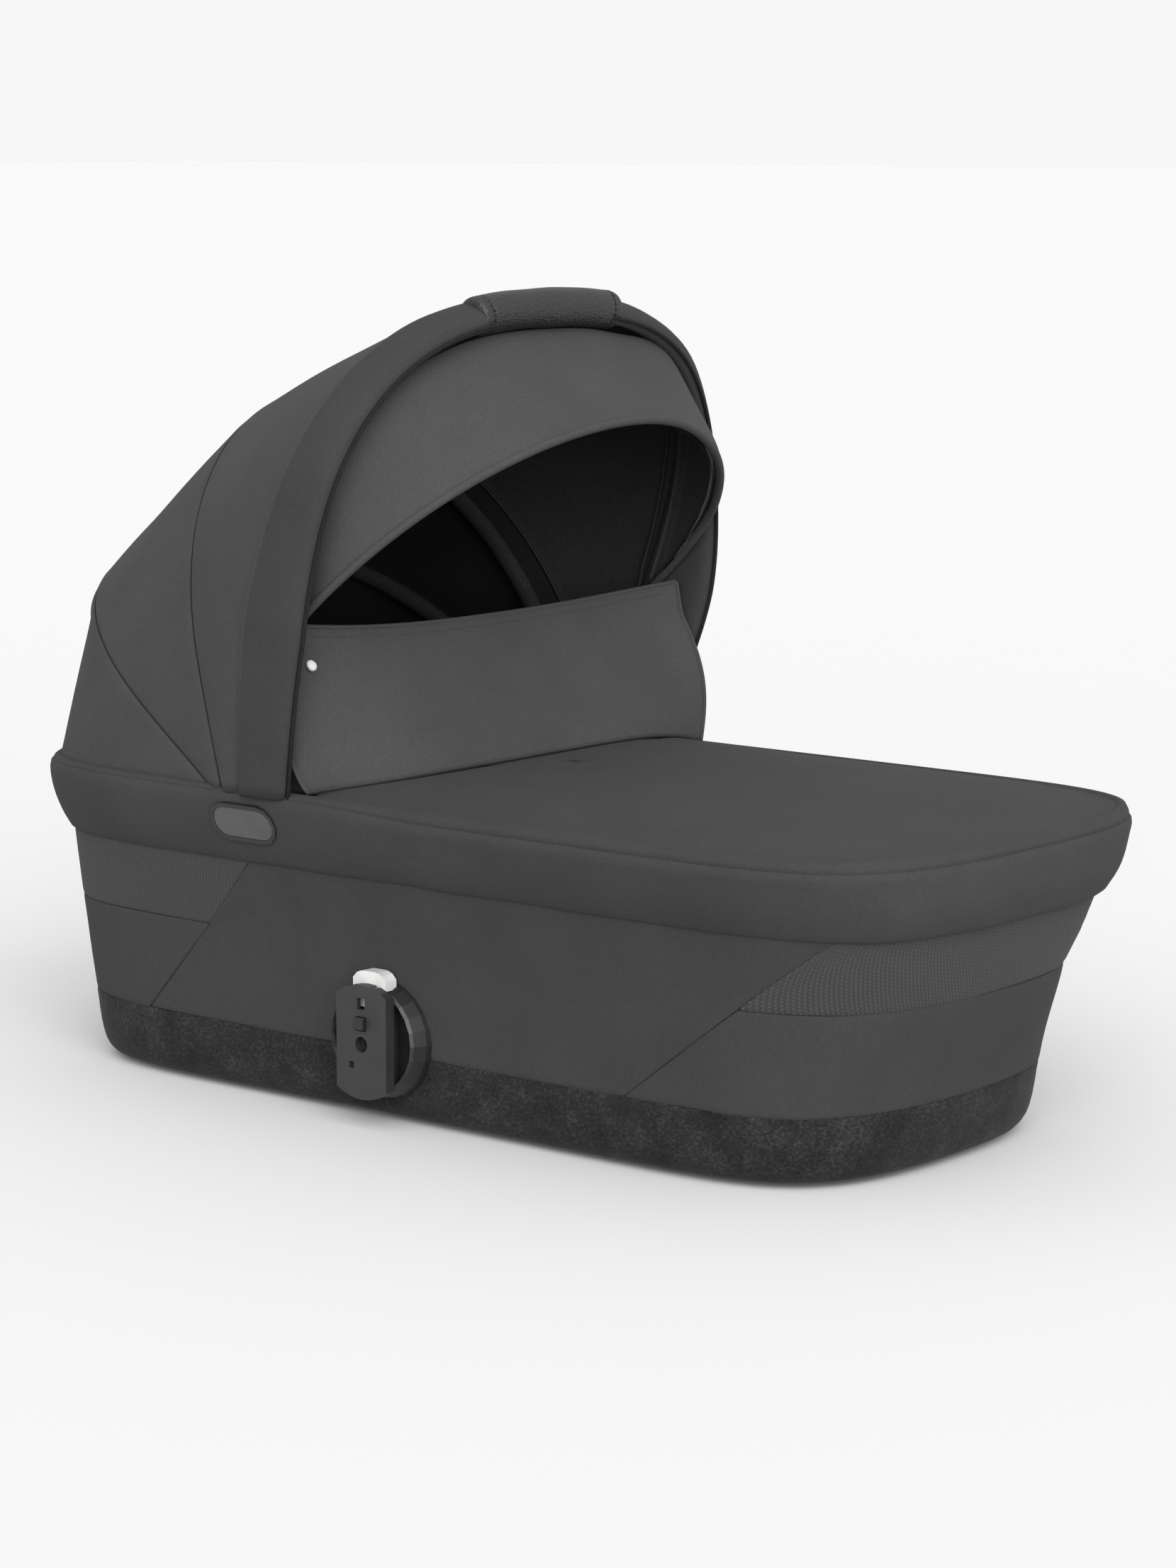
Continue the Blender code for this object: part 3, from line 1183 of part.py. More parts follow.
def wind_flap(flap_axis):
    """A padded flap that leans back from the apron, with a snap on each side."""
    across = np.linspace(-1, 1, 15)
    half_width = SEAM_HALF_WIDTH - APRON_EDGE_ROUND
    foot_y = FLAP_HALF_WIDTH * across
    foot_z = top_height(1 - np.abs(foot_y) / half_width) + CLEARANCE
    foot_x = FLAP_X - FLAP_SWEEP * np.abs(across) ** 5
    lean = math.radians(FLAP_LEAN)
    top_z = FLAP_Z + FLAP_HEIGHT * math.cos(lean) + FLAP_CORNER_RISE * np.abs(across) ** FLAP_CORNER_POWER
    top_x = FLAP_X - FLAP_HEIGHT * math.sin(lean) - FLAP_TOP_SWEEP * np.abs(across) ** 5
    foot = np.stack([foot_x, foot_y, foot_z], 1)
    top = np.stack([top_x, FLAP_TOP_HALF_WIDTH * across, top_z], 1)
    behind = Vector((-SEAM_HALF_LENGTH, 0, SEAM_Z))
    cloth("wind_flap", between(foot, top, 4), CLOTH, flap_axis, FLAP_THICKNESS, behind)
    share = 1 - SNAP_DOWN / FLAP_HEIGHT
    place = foot[0] * (1 - share) + top[0] * share
    centre = (float(place[0]), float(place[2]))
    for word, side in SIDES.items():
        start = abs(float(place[1])) + 2 * CLEARANCE
        turned(
            f"flap_snap_{word}",
            [
                (0, start + SNAP_THICKNESS),
                (SNAP_RADIUS * SNAP_CROWN_SHARE, start + SNAP_THICKNESS),
                (SNAP_RADIUS, start + SNAP_THICKNESS / 2),
                (SNAP_RADIUS, start),
                (0, start),
            ],
            centre,
            side,
            STEEL,
            16,
            flap_axis,
        )


# Adapters


def flatted_circle(radius, half_width, centre, count=9):
    """A round outline with a flat on each side."""
    reach = math.acos(half_width / radius)
    top = np.linspace(reach, math.pi - reach, count)
    points = [(radius * math.cos(a), radius * math.sin(a)) for a in top]
    points += [(-x, -z) for x, z in points]
    return [(centre[0] + x, centre[1] + z) for x, z in points]


def adapters():
    """Each adapter: a hub on the wall, a grooved face plate, a release button and its catch."""
    core = [ring(z, -COVER_SKIN) for z in (0.0, BASE_Z, MID_Z, SKIRT_Z)]
    core = helper("wall_core", loft(core))
    face = wall_at(ADAPTER_X, ADAPTER_Z)
    centre = (ADAPTER_X, ADAPTER_Z)
    for word, side in SIDES.items():
        hub = turned(
            f"adapter_hub_{word}",
            [
                (0, face + HUB_FLOOR),
                (HUB_FRONT_RADIUS - HUB_WALL, face + HUB_FLOOR),
                (HUB_FRONT_RADIUS - HUB_WALL, face + HUB_DEPTH - HUB_LIP),
                (HUB_FRONT_RADIUS - HUB_LIP, face + HUB_DEPTH),
                (HUB_FRONT_RADIUS, face + HUB_DEPTH - HUB_LIP),
                (HUB_RADIUS - HUB_LIP / 2, face + HUB_FLOOR),
                (HUB_RADIUS, face + HUB_LIP),
                (HUB_RADIUS, face - HUB_DEPTH),
                (0, face - HUB_DEPTH),
            ],
            centre,
            side,
            PLASTIC,
            24,
        )
        cut(hub, core)
        cap_room = rectangle(
            2 * RELEASE_HALF_WIDTH + 4 * CLEARANCE, HUB_RADIUS,
            (ADAPTER_X, ADAPTER_Z + NECK_HALF_HEIGHT + HUB_RADIUS / 2),
        )
        cap_room = prism(cap_room, face + HUB_FLOOR, face + PLATE_FRONT, side)
        cut(hub, helper(f"cap_room_{word}", cap_room))
        shank = circle(SCREW_SHANK_RADIUS + CLEARANCE, (ADAPTER_X, ADAPTER_Z + SCREW_DOWN), 12)
        shank = prism(shank, face - HUB_DEPTH, face + PLATE_FRONT + OVERRUN, side)
        shank = helper(f"shank_room_{word}", shank)
        cut(hub, shank)

        plate = add(
            f"adapter_plate_{word}",
            prism(flatted_circle(PLATE_RADIUS, PLATE_HALF_WIDTH, centre),
                  face + PLATE_BACK, face + PLATE_FRONT, side),
            PLASTIC_GREY,
        )
        neck = rectangle(2 * NECK_HALF_WIDTH, 2 * NECK_HALF_HEIGHT, centre)
        neck = prism(neck, face + HUB_FLOOR + CLEARANCE, face + PLATE_BACK + OVERRUN / 4, side)
        join(plate, helper(f"plate_neck_{word}", neck))
        channel_top = NECK_HALF_HEIGHT + RELEASE_TRAVEL + OVERRUN
        plate_room(plate, "channel", word, side, 2 * CHANNEL_HALF_WIDTH,
                   channel_top - CHANNEL_BOTTOM, 0.0, (channel_top + CHANNEL_BOTTOM) / 2,
                   HUB_FLOOR, PLATE_FRONT - PLATE_SKIN)
        plate_room(plate, "window", word, side, WINDOW_WIDTH, WINDOW_HEIGHT, 0.0, WINDOW_UP,
                   PLATE_BACK, PLATE_FRONT + OVERRUN)
        plate_room(plate, "catch_window", word, side, CATCH_WIDTH, CATCH_HEIGHT, 0.0, CATCH_UP,
                   PLATE_BACK, PLATE_FRONT + OVERRUN)
        plate_room(plate, "peg_hole", word, side, PEG_HOLE, PEG_HOLE, PEG_HOLE_X, PEG_HOLE_DOWN,
                   PLATE_FRONT - PLATE_SKIN, PLATE_FRONT + OVERRUN)
        cut(plate, shank)
        screw_at = (ADAPTER_X, ADAPTER_Z + SCREW_DOWN)
        head = PLATE_BACK + CLEARANCE
        recess = prism(circle(SCREW_RECESS_RADIUS, screw_at, 20), face + PLATE_BACK,
                       face + PLATE_FRONT + OVERRUN, side)
        cut(plate, helper(f"screw_recess_{word}", recess))
        turned(
            f"adapter_screw_{word}",
            [
                (0, face + head + SCREW_HEAD / 2),
                (SCREW_HEAD_RADIUS / 2, face + head + SCREW_HEAD / 2),
                (SCREW_HEAD_RADIUS / 2, face + head + SCREW_HEAD),
                (SCREW_HEAD_RADIUS, face + head + SCREW_HEAD),
                (SCREW_HEAD_RADIUS, face + head),
                (SCREW_SHANK_RADIUS, face + head),
                (SCREW_SHANK_RADIUS, face - SHELL_WALL - COVER_SKIN),
                (0, face - SHELL_WALL - COVER_SKIN),
            ],
            screw_at,
            side,
            STEEL,
            16,
        )
        spring_at = (ADAPTER_X + RELEASE_SPRING_X, ADAPTER_Z + NECK_HALF_HEIGHT)
        well_out = face + (HUB_FLOOR + PLATE_BACK) / 2
        bm = bmesh.new()
        bmesh.ops.create_cone(
            bm, cap_ends=True, segments=16, radius1=RELEASE_WELL_RADIUS,
            radius2=RELEASE_WELL_RADIUS, depth=2 * RELEASE_WELL_DEPTH,
        )
        bmesh.ops.translate(bm, vec=(spring_at[0], side * well_out, spring_at[1]), verts=bm.verts)
        cut(plate, helper(f"spring_well_{word}", bm))
        release(word, side, face, spring_at, well_out)


def plate_room(plate, name, word, side, width, height, x, z, low, high):
    """A rectangular room in the face plate."""
    face = wall_at(ADAPTER_X, ADAPTER_Z)
    outline = rectangle(width, height, (ADAPTER_X + x, ADAPTER_Z + z))
    cut(plate, helper(f"{name}_{word}", prism(outline, face + low, face + high, side)))


def release(word, side, face, spring_at, well_out):
    """The white release button, the catch that it draws in, and the button's spring."""
    slide = axis_empty(f"release_axis_{word}", (ADAPTER_X, side * face, ADAPTER_Z))
    under = NECK_HALF_HEIGHT + RELEASE_TRAVEL + 2 * CLEARANCE
    tip = CATCH_SLOPE_OUT - CATCH_TRAVEL - CLEARANCE
    ratio = RELEASE_TRAVEL / CATCH_TRAVEL
    tip_up = CATCH_LEDGE_UP + ratio * (CATCH_SLOPE_OUT - tip) + 2 * CLEARANCE
    stem_back = HUB_FLOOR + CATCH_TRAVEL + 2 * CLEARANCE
    cap_front = PLATE_BACK - CLEARANCE
    cap_back = HUB_FLOOR + 2 * CLEARANCE
    origin = (ADAPTER_X, face, ADAPTER_Z)
    stem = [
        (stem_back, under + RELEASE_CAP / 4),
        (stem_back, tip_up + ratio * (tip - stem_back)),
        (tip, tip_up),
        (tip, under + RELEASE_CAP / 4),
    ]
    arc = []
    for share in np.linspace(-1, 1, 9):
        arc.append((RELEASE_HALF_WIDTH * share, RELEASE_TOP - RELEASE_ARCH * share**4))
    outline = [(ADAPTER_X + x, ADAPTER_Z + z) for x, z in
               [(-RELEASE_HALF_WIDTH, under)] + arc + [(RELEASE_HALF_WIDTH, under)]]
    button = add(
        f"release_button_{word}",
        prism(outline, face + cap_back, face + cap_front, side),
        WHITE,
        slide,
    )
    half = CHANNEL_HALF_WIDTH - 2 * CLEARANCE
    join(button, helper(f"release_stem_{word}", across_x(stem, half, side, origin)))

    ledge = CATCH_LEDGE_UP
    back = HUB_FLOOR + CATCH_TRAVEL + 2 * CLEARANCE
    low = CATCH_UP - CATCH_HEIGHT / 2 + CLEARANCE
    nose = PLATE_FRONT + CATCH_OUT
    catch = [
        (back, low),
        (PLATE_FRONT, low),
        (nose, low + CATCH_OUT / 2),
        (nose, ledge - CATCH_OUT / 2),
        (nose - CATCH_OUT / 2, ledge),
        (CATCH_SLOPE_OUT, ledge),
        (CATCH_SLOPE_OUT - CATCH_SLOPE_RUN, ledge + ratio * CATCH_SLOPE_RUN),
        (back, ledge + ratio * CATCH_SLOPE_RUN),
    ]
    half = CATCH_WIDTH / 2 - CLEARANCE
    add(f"catch_{word}", across_x(catch, half, side, origin), PLASTIC, slide)

    length = RELEASE_WELL_DEPTH + under - NECK_HALF_HEIGHT - 2 * CLEARANCE
    start = (
        spring_at[0],
        side * well_out,
        spring_at[1] - RELEASE_WELL_DEPTH + CLEARANCE,
    )
    spring(
        f"release_spring_{word}", start, (0, 0, 1), RELEASE_SPRING_RADIUS, length,
        RELEASE_SPRING_TURNS, STEEL, slide,
    )


def main():
    hood_axis = axis_empty("hood_axis", (PIVOT_X, 0, PIVOT_Z))
    visor_axis = axis_empty("visor_axis", (VISOR_PIVOT_X, 0, VISOR_PIVOT_Z))
    flap_axis = axis_empty("flap_axis", (FLAP_X, 0, FLAP_Z))
    tub_shell()
    feet()
    side_cloth()
    apron_and_band()
    liner()
    mattress()
    hinges(hood_axis)
    hood(hood_axis, visor_axis)
    wind_flap(flap_axis)
    adapters()


RIM_WALL = SKIRT_HALF_WIDTH - RIM_INSET
RING = ring_shares()
clear_scene()
PART = collection("carrycot")
CUTTERS = collection("cutters")
main()
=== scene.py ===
"""The carrycot's soft goods, materials, light and camera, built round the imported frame."""

import math

import bpy
import numpy as np
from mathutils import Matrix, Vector


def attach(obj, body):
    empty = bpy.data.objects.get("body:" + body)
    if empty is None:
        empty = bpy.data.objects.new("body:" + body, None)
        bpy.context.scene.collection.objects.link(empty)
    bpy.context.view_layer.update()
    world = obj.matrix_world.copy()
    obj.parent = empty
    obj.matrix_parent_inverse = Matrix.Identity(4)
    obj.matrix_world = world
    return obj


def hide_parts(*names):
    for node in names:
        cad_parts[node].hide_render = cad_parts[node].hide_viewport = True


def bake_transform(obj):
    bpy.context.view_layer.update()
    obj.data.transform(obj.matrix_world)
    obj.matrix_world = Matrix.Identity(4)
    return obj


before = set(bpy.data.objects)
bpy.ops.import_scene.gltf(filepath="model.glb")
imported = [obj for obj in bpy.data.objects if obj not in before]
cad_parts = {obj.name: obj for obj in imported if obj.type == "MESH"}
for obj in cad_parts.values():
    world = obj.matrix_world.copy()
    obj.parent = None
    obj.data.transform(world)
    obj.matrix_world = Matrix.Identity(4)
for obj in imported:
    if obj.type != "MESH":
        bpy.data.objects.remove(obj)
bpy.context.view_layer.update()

# The tub's outline at four heights: height, half length, half width, place along X, fullness of the sides
LEVELS = np.array(
    [
        (0.006, 0.381, 0.168, -0.0175, 2.5),
        (0.130, 0.400, 0.174, -0.0155, 2.7),
        (0.187, 0.409, 0.185, -0.0025, 3.1),
        (0.241, 0.420, 0.206, 0.0025, 3.0),
    ]
)
END_FULLNESS = 9.0
# Heights of the seams on the wall, and the skirt's bulge
STRIP_TOP, KNIT_LOW, HEM_Z, SEAM_Z = 0.054, 0.130, 0.187, 0.241
BULGE, BULGE_Z = 0.0075, 0.214
# The axes of the hood, the visor and the wind flap
PIVOT = np.array([-0.1425, 0.0, 0.2187])
VISOR_PIVOT = np.array([-0.0895, 0.0, 0.3622])
FLAP = np.array([-0.0265, 0.0, 0.2590])
BOTH = (("near", -1), ("far", 1))
# Random fields: how many waves make one, and the gain that brings their sum near 1
WAVE_COUNT, WAVE_GAIN = 9, 1.6


# Helpers for meshes


def piece(name, shape, body, looks, thickness=0.0):
    """A named smooth mesh of vertices and faces that rides on a body. A thickness grows inwards."""
    verts, faces = shape
    mesh = bpy.data.meshes.new(name)
    mesh.from_pydata([tuple(map(float, v)) for v in verts], [], faces)
    mesh.validate()
    made = bpy.data.objects.new(name, mesh)
    bpy.context.scene.collection.objects.link(made)
    for look in looks:
        mesh.materials.append(look)
    mesh.shade_smooth()
    if thickness:
        skin = made.modifiers.new("skin", "SOLIDIFY")
        skin.thickness = thickness
        skin.offset = -1
        skin.material_offset = len(looks) - 1
        skin.material_offset_rim = 0
    if body:
        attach(made, body)
    return made


def grid(rows, around=False):
    """Vertices and faces of a grid of points: rows by columns by 3."""
    rows = np.asarray(rows)
    count_rows, count = rows.shape[:2]
    faces = []
    for i in range(count_rows - 1):
        for j in range(count if around else count - 1):
            after = (j + 1) % count
            faces.append((i * count + j, i * count + after, (i + 1) * count + after, (i + 1) * count + j))
    return rows.reshape(-1, 3), faces


def turned(shape):
    """The same shape with its faces seen from their other side."""
    return shape[0], [face[::-1] for face in shape[1]]


def tube(line, radii, sides):
    """A round tube along a line of points, closed at both ends."""
    line = np.asarray(line, float)
    radii = np.broadcast_to(radii, len(line))
    tangent = np.gradient(line, axis=0)
    tangent /= np.linalg.norm(tangent, axis=1)[:, None]
    guide = np.array([0.0, 0.0, 1.0]) if abs(tangent[0, 2]) < 0.9 else np.array([1.0, 0.0, 0.0])
    normal = np.empty_like(line)
    for i, along in enumerate(tangent):
        guide = guide - along * (guide @ along)
        guide /= np.linalg.norm(guide)
        normal[i] = guide
    other = np.cross(tangent, normal)
    angle = np.linspace(0, math.tau, sides, endpoint=False)
    rows = (
        line[:, None]
        + radii[:, None, None] * np.cos(angle)[None, :, None] * normal[:, None]
        + radii[:, None, None] * np.sin(angle)[None, :, None] * other[:, None]
    )
    verts, faces = grid(rows, True)
    faces.append(tuple(range(sides))[::-1])
    faces.append(tuple((len(line) - 1) * sides + i for i in range(sides)))
    return verts, faces


def travel(points):
    """How far along a line each of its points lies."""
    return np.concatenate([[0.0], np.cumsum(np.linalg.norm(np.diff(points, axis=0), axis=1))])


def even(points, count):
    """The same line with a number of points at equal distances."""
    travelled = travel(points)
    wanted = np.linspace(0.0, travelled[-1], count)
    return np.stack([np.interp(wanted, travelled, points[:, i]) for i in range(points.shape[1])], 1)


def step(low, high, value):
    """A smooth rise from 0 at a low value to 1 at a high one."""
    share = np.clip((value - low) / (high - low), 0, 1)
    return share * share * (3 - 2 * share)


def waves(points, size, seed):
    """A smooth random field from about -1 to 1 over points, with features of about a size."""
    rng = np.random.default_rng(seed)
    total = np.zeros(points.shape[:-1])
    for _ in range(WAVE_COUNT):
        way = rng.normal(size=3)
        way /= np.linalg.norm(way)
        total += np.sin(points @ way * math.tau / (size * rng.uniform(0.7, 1.6)) + rng.uniform(0, math.tau))
    return total / WAVE_COUNT * WAVE_GAIN


# The tub's wall


def shares(points):
    """Pairs of shares round a quarter of the outline, closer together at the corner."""
    fine = np.linspace(0.0, 1.0, 4001)
    across = fine * 0.5 ** (1 / LEVELS[-1, 4])
    along = fine[::-1] * 0.5 ** (1 / END_FULLNESS)
    side = np.concatenate([across ** LEVELS[-1, 4], 1 - along[1:] ** END_FULLNESS])
    end = np.concatenate([1 - across ** LEVELS[-1, 4], along[1:] ** END_FULLNESS])
    x = LEVELS[-1, 1] * end ** (1 / END_FULLNESS)
    y = LEVELS[-1, 2] * side ** (1 / LEVELS[-1, 4])
    way = np.unwrap(np.arctan2(np.diff(y), np.diff(x)))
    travelled = np.hypot(np.diff(x), np.diff(y)) + 0.25 * np.abs(np.diff(way, prepend=way[0]))
    travelled = np.concatenate([[0.0], np.cumsum(travelled)])
    wanted = np.linspace(0.0, travelled[-1], points + 1)
    return np.interp(wanted, travelled, end), np.interp(wanted, travelled, side)


QUARTER = 60
END, SIDE = shares(QUARTER)
# From the middle of the foot end round the near side to the head, and back along the far side
ENDS = np.concatenate([END[:-1], -END[:0:-1], -END[:-1], END[:0:-1]])
SIDES = -np.concatenate([SIDE[:-1], SIDE[:0:-1], -SIDE[:-1], -SIDE[:0:-1]])
NEAR_COUNT = 2 * QUARTER


def level(height):
    """Half length, half width, place along X and fullness of the outline at a height."""
    return [np.interp(height, LEVELS[:, 0], LEVELS[:, i]) for i in range(1, 5)]


def ring(height, offset=0.0, shape=None):
    """The outline at a height, moved out by an offset, or by one offset for each point."""
    length, width, shift, fullness = level(height if shape is None else shape)
    x = length * np.sign(ENDS) * np.abs(ENDS) ** (1 / END_FULLNESS)
    y = width * np.sign(SIDES) * np.abs(SIDES) ** (1 / fullness)
    nx = np.sign(x) * np.abs(x / length) ** (END_FULLNESS - 1) / length
    ny = np.sign(y) * np.abs(y / width) ** (fullness - 1) / width
    size = np.hypot(nx, ny)
    return np.stack([x + shift + offset * nx / size, y + offset * ny / size, np.full(len(x), height)], 1)


def bulge(height):
    """How far the skirt stands out round its middle height."""
    share = (height - BULGE_Z) / ((SEAM_Z - HEM_Z) / 2)
    return BULGE * math.sqrt(max(0.0, 1 - share * share))


def place_on_ring(height, x, side):
    """The fractional index on the outline where it has a place along X on a side."""
    points = ring(height)
    half = points[: NEAR_COUNT + 1]
    index = np.interp(-x, -half[:, 0], np.arange(NEAR_COUNT + 1))
    return index if side < 0 else len(points) - index


def outward(height):
    """The way out from the wall at each point of the outline."""
    return ring(height, 1.0) - ring(height)


def along_ring(points, index):
    """Places on an outline for fractional indices."""
    closed = np.vstack([points, points[:1]])
    return np.stack([np.interp(index, np.arange(len(closed)), closed[:, i]) for i in range(3)], 1)


def edge_spacing(count, sharp):
    """Shares from 0 to 1 that lie closer together at both ends."""
    middle = np.linspace(0, 1, count)
    return 0.5 + 0.5 * np.tanh(sharp * (2 * middle - 1)) / math.tanh(sharp)


def dip(distance, width=0.0032, depth=0.0011):
    """How far cloth is drawn in at a distance from its seam."""
    return -depth * (1 - np.clip(distance / width, 0, 1)) ** 2


def fuller(points, skirt=False):
    """Lets the cloth at the foot end stand out a little."""
    points = np.array(points)
    height = points[..., 2]
    if skirt:
        amount = 0.0040 + 0.0045 * (1 - step(0.200, 0.236, height))
    else:
        amount = 0.0080 * step(0.060, 0.130, height) * (1 - 0.4 * step(0.150, 0.1865, height))
    points[..., 0] += amount * step(0.30, 0.41, points[..., 0])
    return points


def wall_panel(name, low, high, start, stop, rows, columns, slot, look, seed, replaced=()):
    """Cloth on the tub's wall between two heights and two lines, with its edges drawn in at the seams.

    The lines give an index on the outline at a height. Indices may run past the end of the outline.
    """
    heights = low + (high - low) * edge_spacing(rows, 2.2)
    made = []
    total = len(ENDS)
    for height in heights:
        base = ring(height)
        outer = ring(height, 1.0) - base
        index = start(height) + (stop(height) - start(height)) * edge_spacing(columns, 2.6)
        points = along_ring(base, index % total)
        out = along_ring(base + outer, index % total) - points
        travelled = travel(points)
        offset = dip(travelled) + dip(travelled[-1] - travelled)
        offset += dip(height - low) + dip(high - height)
        offset += 0.0006 * waves(points, 0.09, seed) + 0.0004
        made.append(points + offset[:, None] * out)
    made = fuller(made)
    panel = piece(name, grid(made), "tub", [look], CLOTH_SKIN)
    flat = np.stack(np.meshgrid(travel(made[len(made) // 2]), heights), 2).reshape(-1, 2)
    flat_map = panel.data.uv_layers.new(name="laid_flat")
    for loop in panel.data.loops:
        flat_map.data[loop.index].uv = flat[loop.vertex_index]
    if replaced:
        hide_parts(*replaced)
    return panel


# Materials

# How fine the weave's threads are, as a texture's scale, and the distance between the knit's rows
THREADS, KNIT_PITCH = 1500.0, 0.0026


class Tree:
    """A material, with short ways to add nodes to it."""

    def __init__(self, name, colour, roughness, **sockets):
        self.made = bpy.data.materials.new(name)
        self.made.use_nodes = True
        self.nodes, self.links = self.made.node_tree.nodes, self.made.node_tree.links
        self.shader = self.nodes["Principled BSDF"]
        self.shader.inputs["Base Color"].default_value = (*colour, 1)
        self.shader.inputs["Roughness"].default_value = roughness
        for socket, value in sockets.items():
            self.shader.inputs[socket.replace("_", " ")].default_value = value
        self.place = self.add("ShaderNodeTexCoord").outputs["Object"]

    def add(self, kind, **settings):
        node = self.nodes.new(kind)
        for key, value in settings.items():
            if key[0].isupper():
                node.inputs[key.replace("_", " ")].default_value = value
            else:
                setattr(node, key, value)
        return node

    def join(self, start, end):
        self.links.new(start, end)

    def stretched(self, scale, place=None, turn=0.0):
        node = self.add("ShaderNodeMapping")
        node.inputs["Scale"].default_value = scale
        node.inputs["Rotation"].default_value = (0, 0, turn)
        self.join(place or self.place, node.inputs["Vector"])
        return node.outputs["Vector"]

    def noise(self, scale, detail=2.0, place=None, rough=0.5):
        node = self.add("ShaderNodeTexNoise", Scale=scale, Detail=detail, Roughness=rough)
        self.join(place or self.place, node.inputs["Vector"])
        return node.outputs["Fac"]

    def wave(self, scale, place, distortion):
        node = self.add("ShaderNodeTexWave", Scale=scale, Distortion=distortion)
        self.join(place, node.inputs["Vector"])
        return node.outputs["Fac"]

    def math(self, how, first, second):
        node = self.add("ShaderNodeMath", operation=how)
        for socket, value in zip(node.inputs, (first, second)):
            if isinstance(value, (int, float)):
                socket.default_value = value
            else:
                self.join(value, socket)
        return node.outputs["Value"]

    def ramp(self, value, stops):
        node = self.add("ShaderNodeValToRGB")
        while len(node.color_ramp.elements) < len(stops):
            node.color_ramp.elements.new(0.5)
        for element, (place, colour) in zip(node.color_ramp.elements, stops):
            element.position = place
            element.color = (*colour, 1)
        self.join(value, node.inputs["Fac"])
        return node.outputs["Color"]

    def bump(self, height, distance, strength, under=None):
        node = self.add("ShaderNodeBump", Distance=distance, Strength=strength)
        self.join(height, node.inputs["Height"])
        if under:
            self.join(under, node.inputs["Normal"])
        return node.outputs["Normal"]

    def mixed(self, first, share, second):
        """A share of one value, with the rest of another."""
        rest = self.math("MULTIPLY", second, 1 - share)
        return self.math("ADD", self.math("MULTIPLY", first, share), rest)

    def shaded(self, value, colour, places, factors):
        """Colours the material by a value, with a shade of the colour at each place along it."""
        shades = [tuple(min(1.0, part * factor) for part in colour) for factor in factors]
        self.join(self.ramp(value, list(zip(places, shades))), self.shader.inputs["Base Color"])

    def normal(self, value):
        self.join(value, self.shader.inputs["Normal"])


def woven(name, colour, contrast):
    """A fine plain weave: threads both ways, a mottled tone and a soft sheen."""
    tree = Tree(name, colour, 0.92, Sheen_Weight=0.02, Sheen_Roughness=0.5, Specular_IOR_Level=0.05)
    warp = tree.wave(THREADS / 6.28, tree.stretched((1.0, 1.0, 0.25)), 1.2)
    weft = tree.noise(THREADS * 0.9, 2.0, tree.stretched((0.35, 0.35, 1.0)))
    threads = tree.math("MULTIPLY", warp, weft)
    broad = tree.noise(16.0, 3.0)
    fine = tree.noise(420.0, 2.0)
    tree.shaded(tree.mixed(broad, 0.45, fine), colour, (0.34, 0.66), (1 - contrast, 1 + contrast))
    tree.normal(tree.bump(threads, 0.0004, 0.5, tree.bump(fine, 0.0006, 0.35)))
    return tree.made


def knitted(name, colour):
    """A raised knit: short slanted loops in slanting rows, laid out on the mesh's own map in metres."""
    tree = Tree(name, colour, 0.9, Sheen_Weight=0.03, Specular_IOR_Level=0.12)
    place = tree.add("ShaderNodeUVMap", uv_map="laid_flat").outputs["UV"]
    # A wave texture of this scale has its bands one pitch apart
    scale = math.tau / (20 * KNIT_PITCH)
    rows = tree.wave(scale, tree.stretched((1, 1, 1), place, math.radians(33.0)), 0.0)
    dashes = tree.wave(scale * 0.8, tree.stretched((1, 1, 1), place, math.radians(-38.0)), 0.0)
    loops = tree.math("MULTIPLY", rows, tree.math("ADD", tree.math("MULTIPLY", dashes, 0.75), 0.25))
    fine = tree.noise(700.0)
    tone = tree.math("ADD", loops, tree.math("MULTIPLY", fine, 0.15))
    tree.shaded(tone, colour, (0.30, 0.95), (0.80, 1.32))
    tree.normal(tree.bump(loops, 0.0007, 0.7, tree.bump(fine, 0.0004, 0.4)))
    return tree.made


def heathered(name, colour):
    """A brushed heather: dark yarn with lighter flecks."""
    tree = Tree(name, colour, 0.95, Sheen_Weight=0.04, Specular_IOR_Level=0.1)
    flecks = tree.noise(620.0, 3.0, tree.stretched((0.6, 0.6, 0.8)), 0.7)
    broad = tree.noise(30.0, 4.0, None, 0.6)
    tree.shaded(tree.mixed(flecks, 0.6, broad), colour, (0.36, 0.52, 0.68), (0.40, 1.0, 2.6))
    tree.normal(tree.bump(flecks, 0.0009, 0.6))
    return tree.made


def leather(name, colour):
    """Grained leatherette: rounded cells with fine creases between them."""
    tree = Tree(name, colour, 0.52, Specular_IOR_Level=0.42)
    cells = tree.add("ShaderNodeTexVoronoi", feature="SMOOTH_F1", Scale=620.0)
    tree.join(tree.stretched((1.0, 0.75, 1.0)), cells.inputs["Vector"])
    grain = cells.outputs["Distance"]
    broad = tree.noise(60.0, 3.0)
    tone = tree.math("MULTIPLY", grain, tree.math("ADD", broad, 0.6))
    tree.shaded(tone, colour, (0.15, 0.75), (1.3, 0.75))
    tree.normal(tree.bump(grain, 0.0009, 0.9, tree.bump(broad, 0.002, 0.2)))
    return tree.made


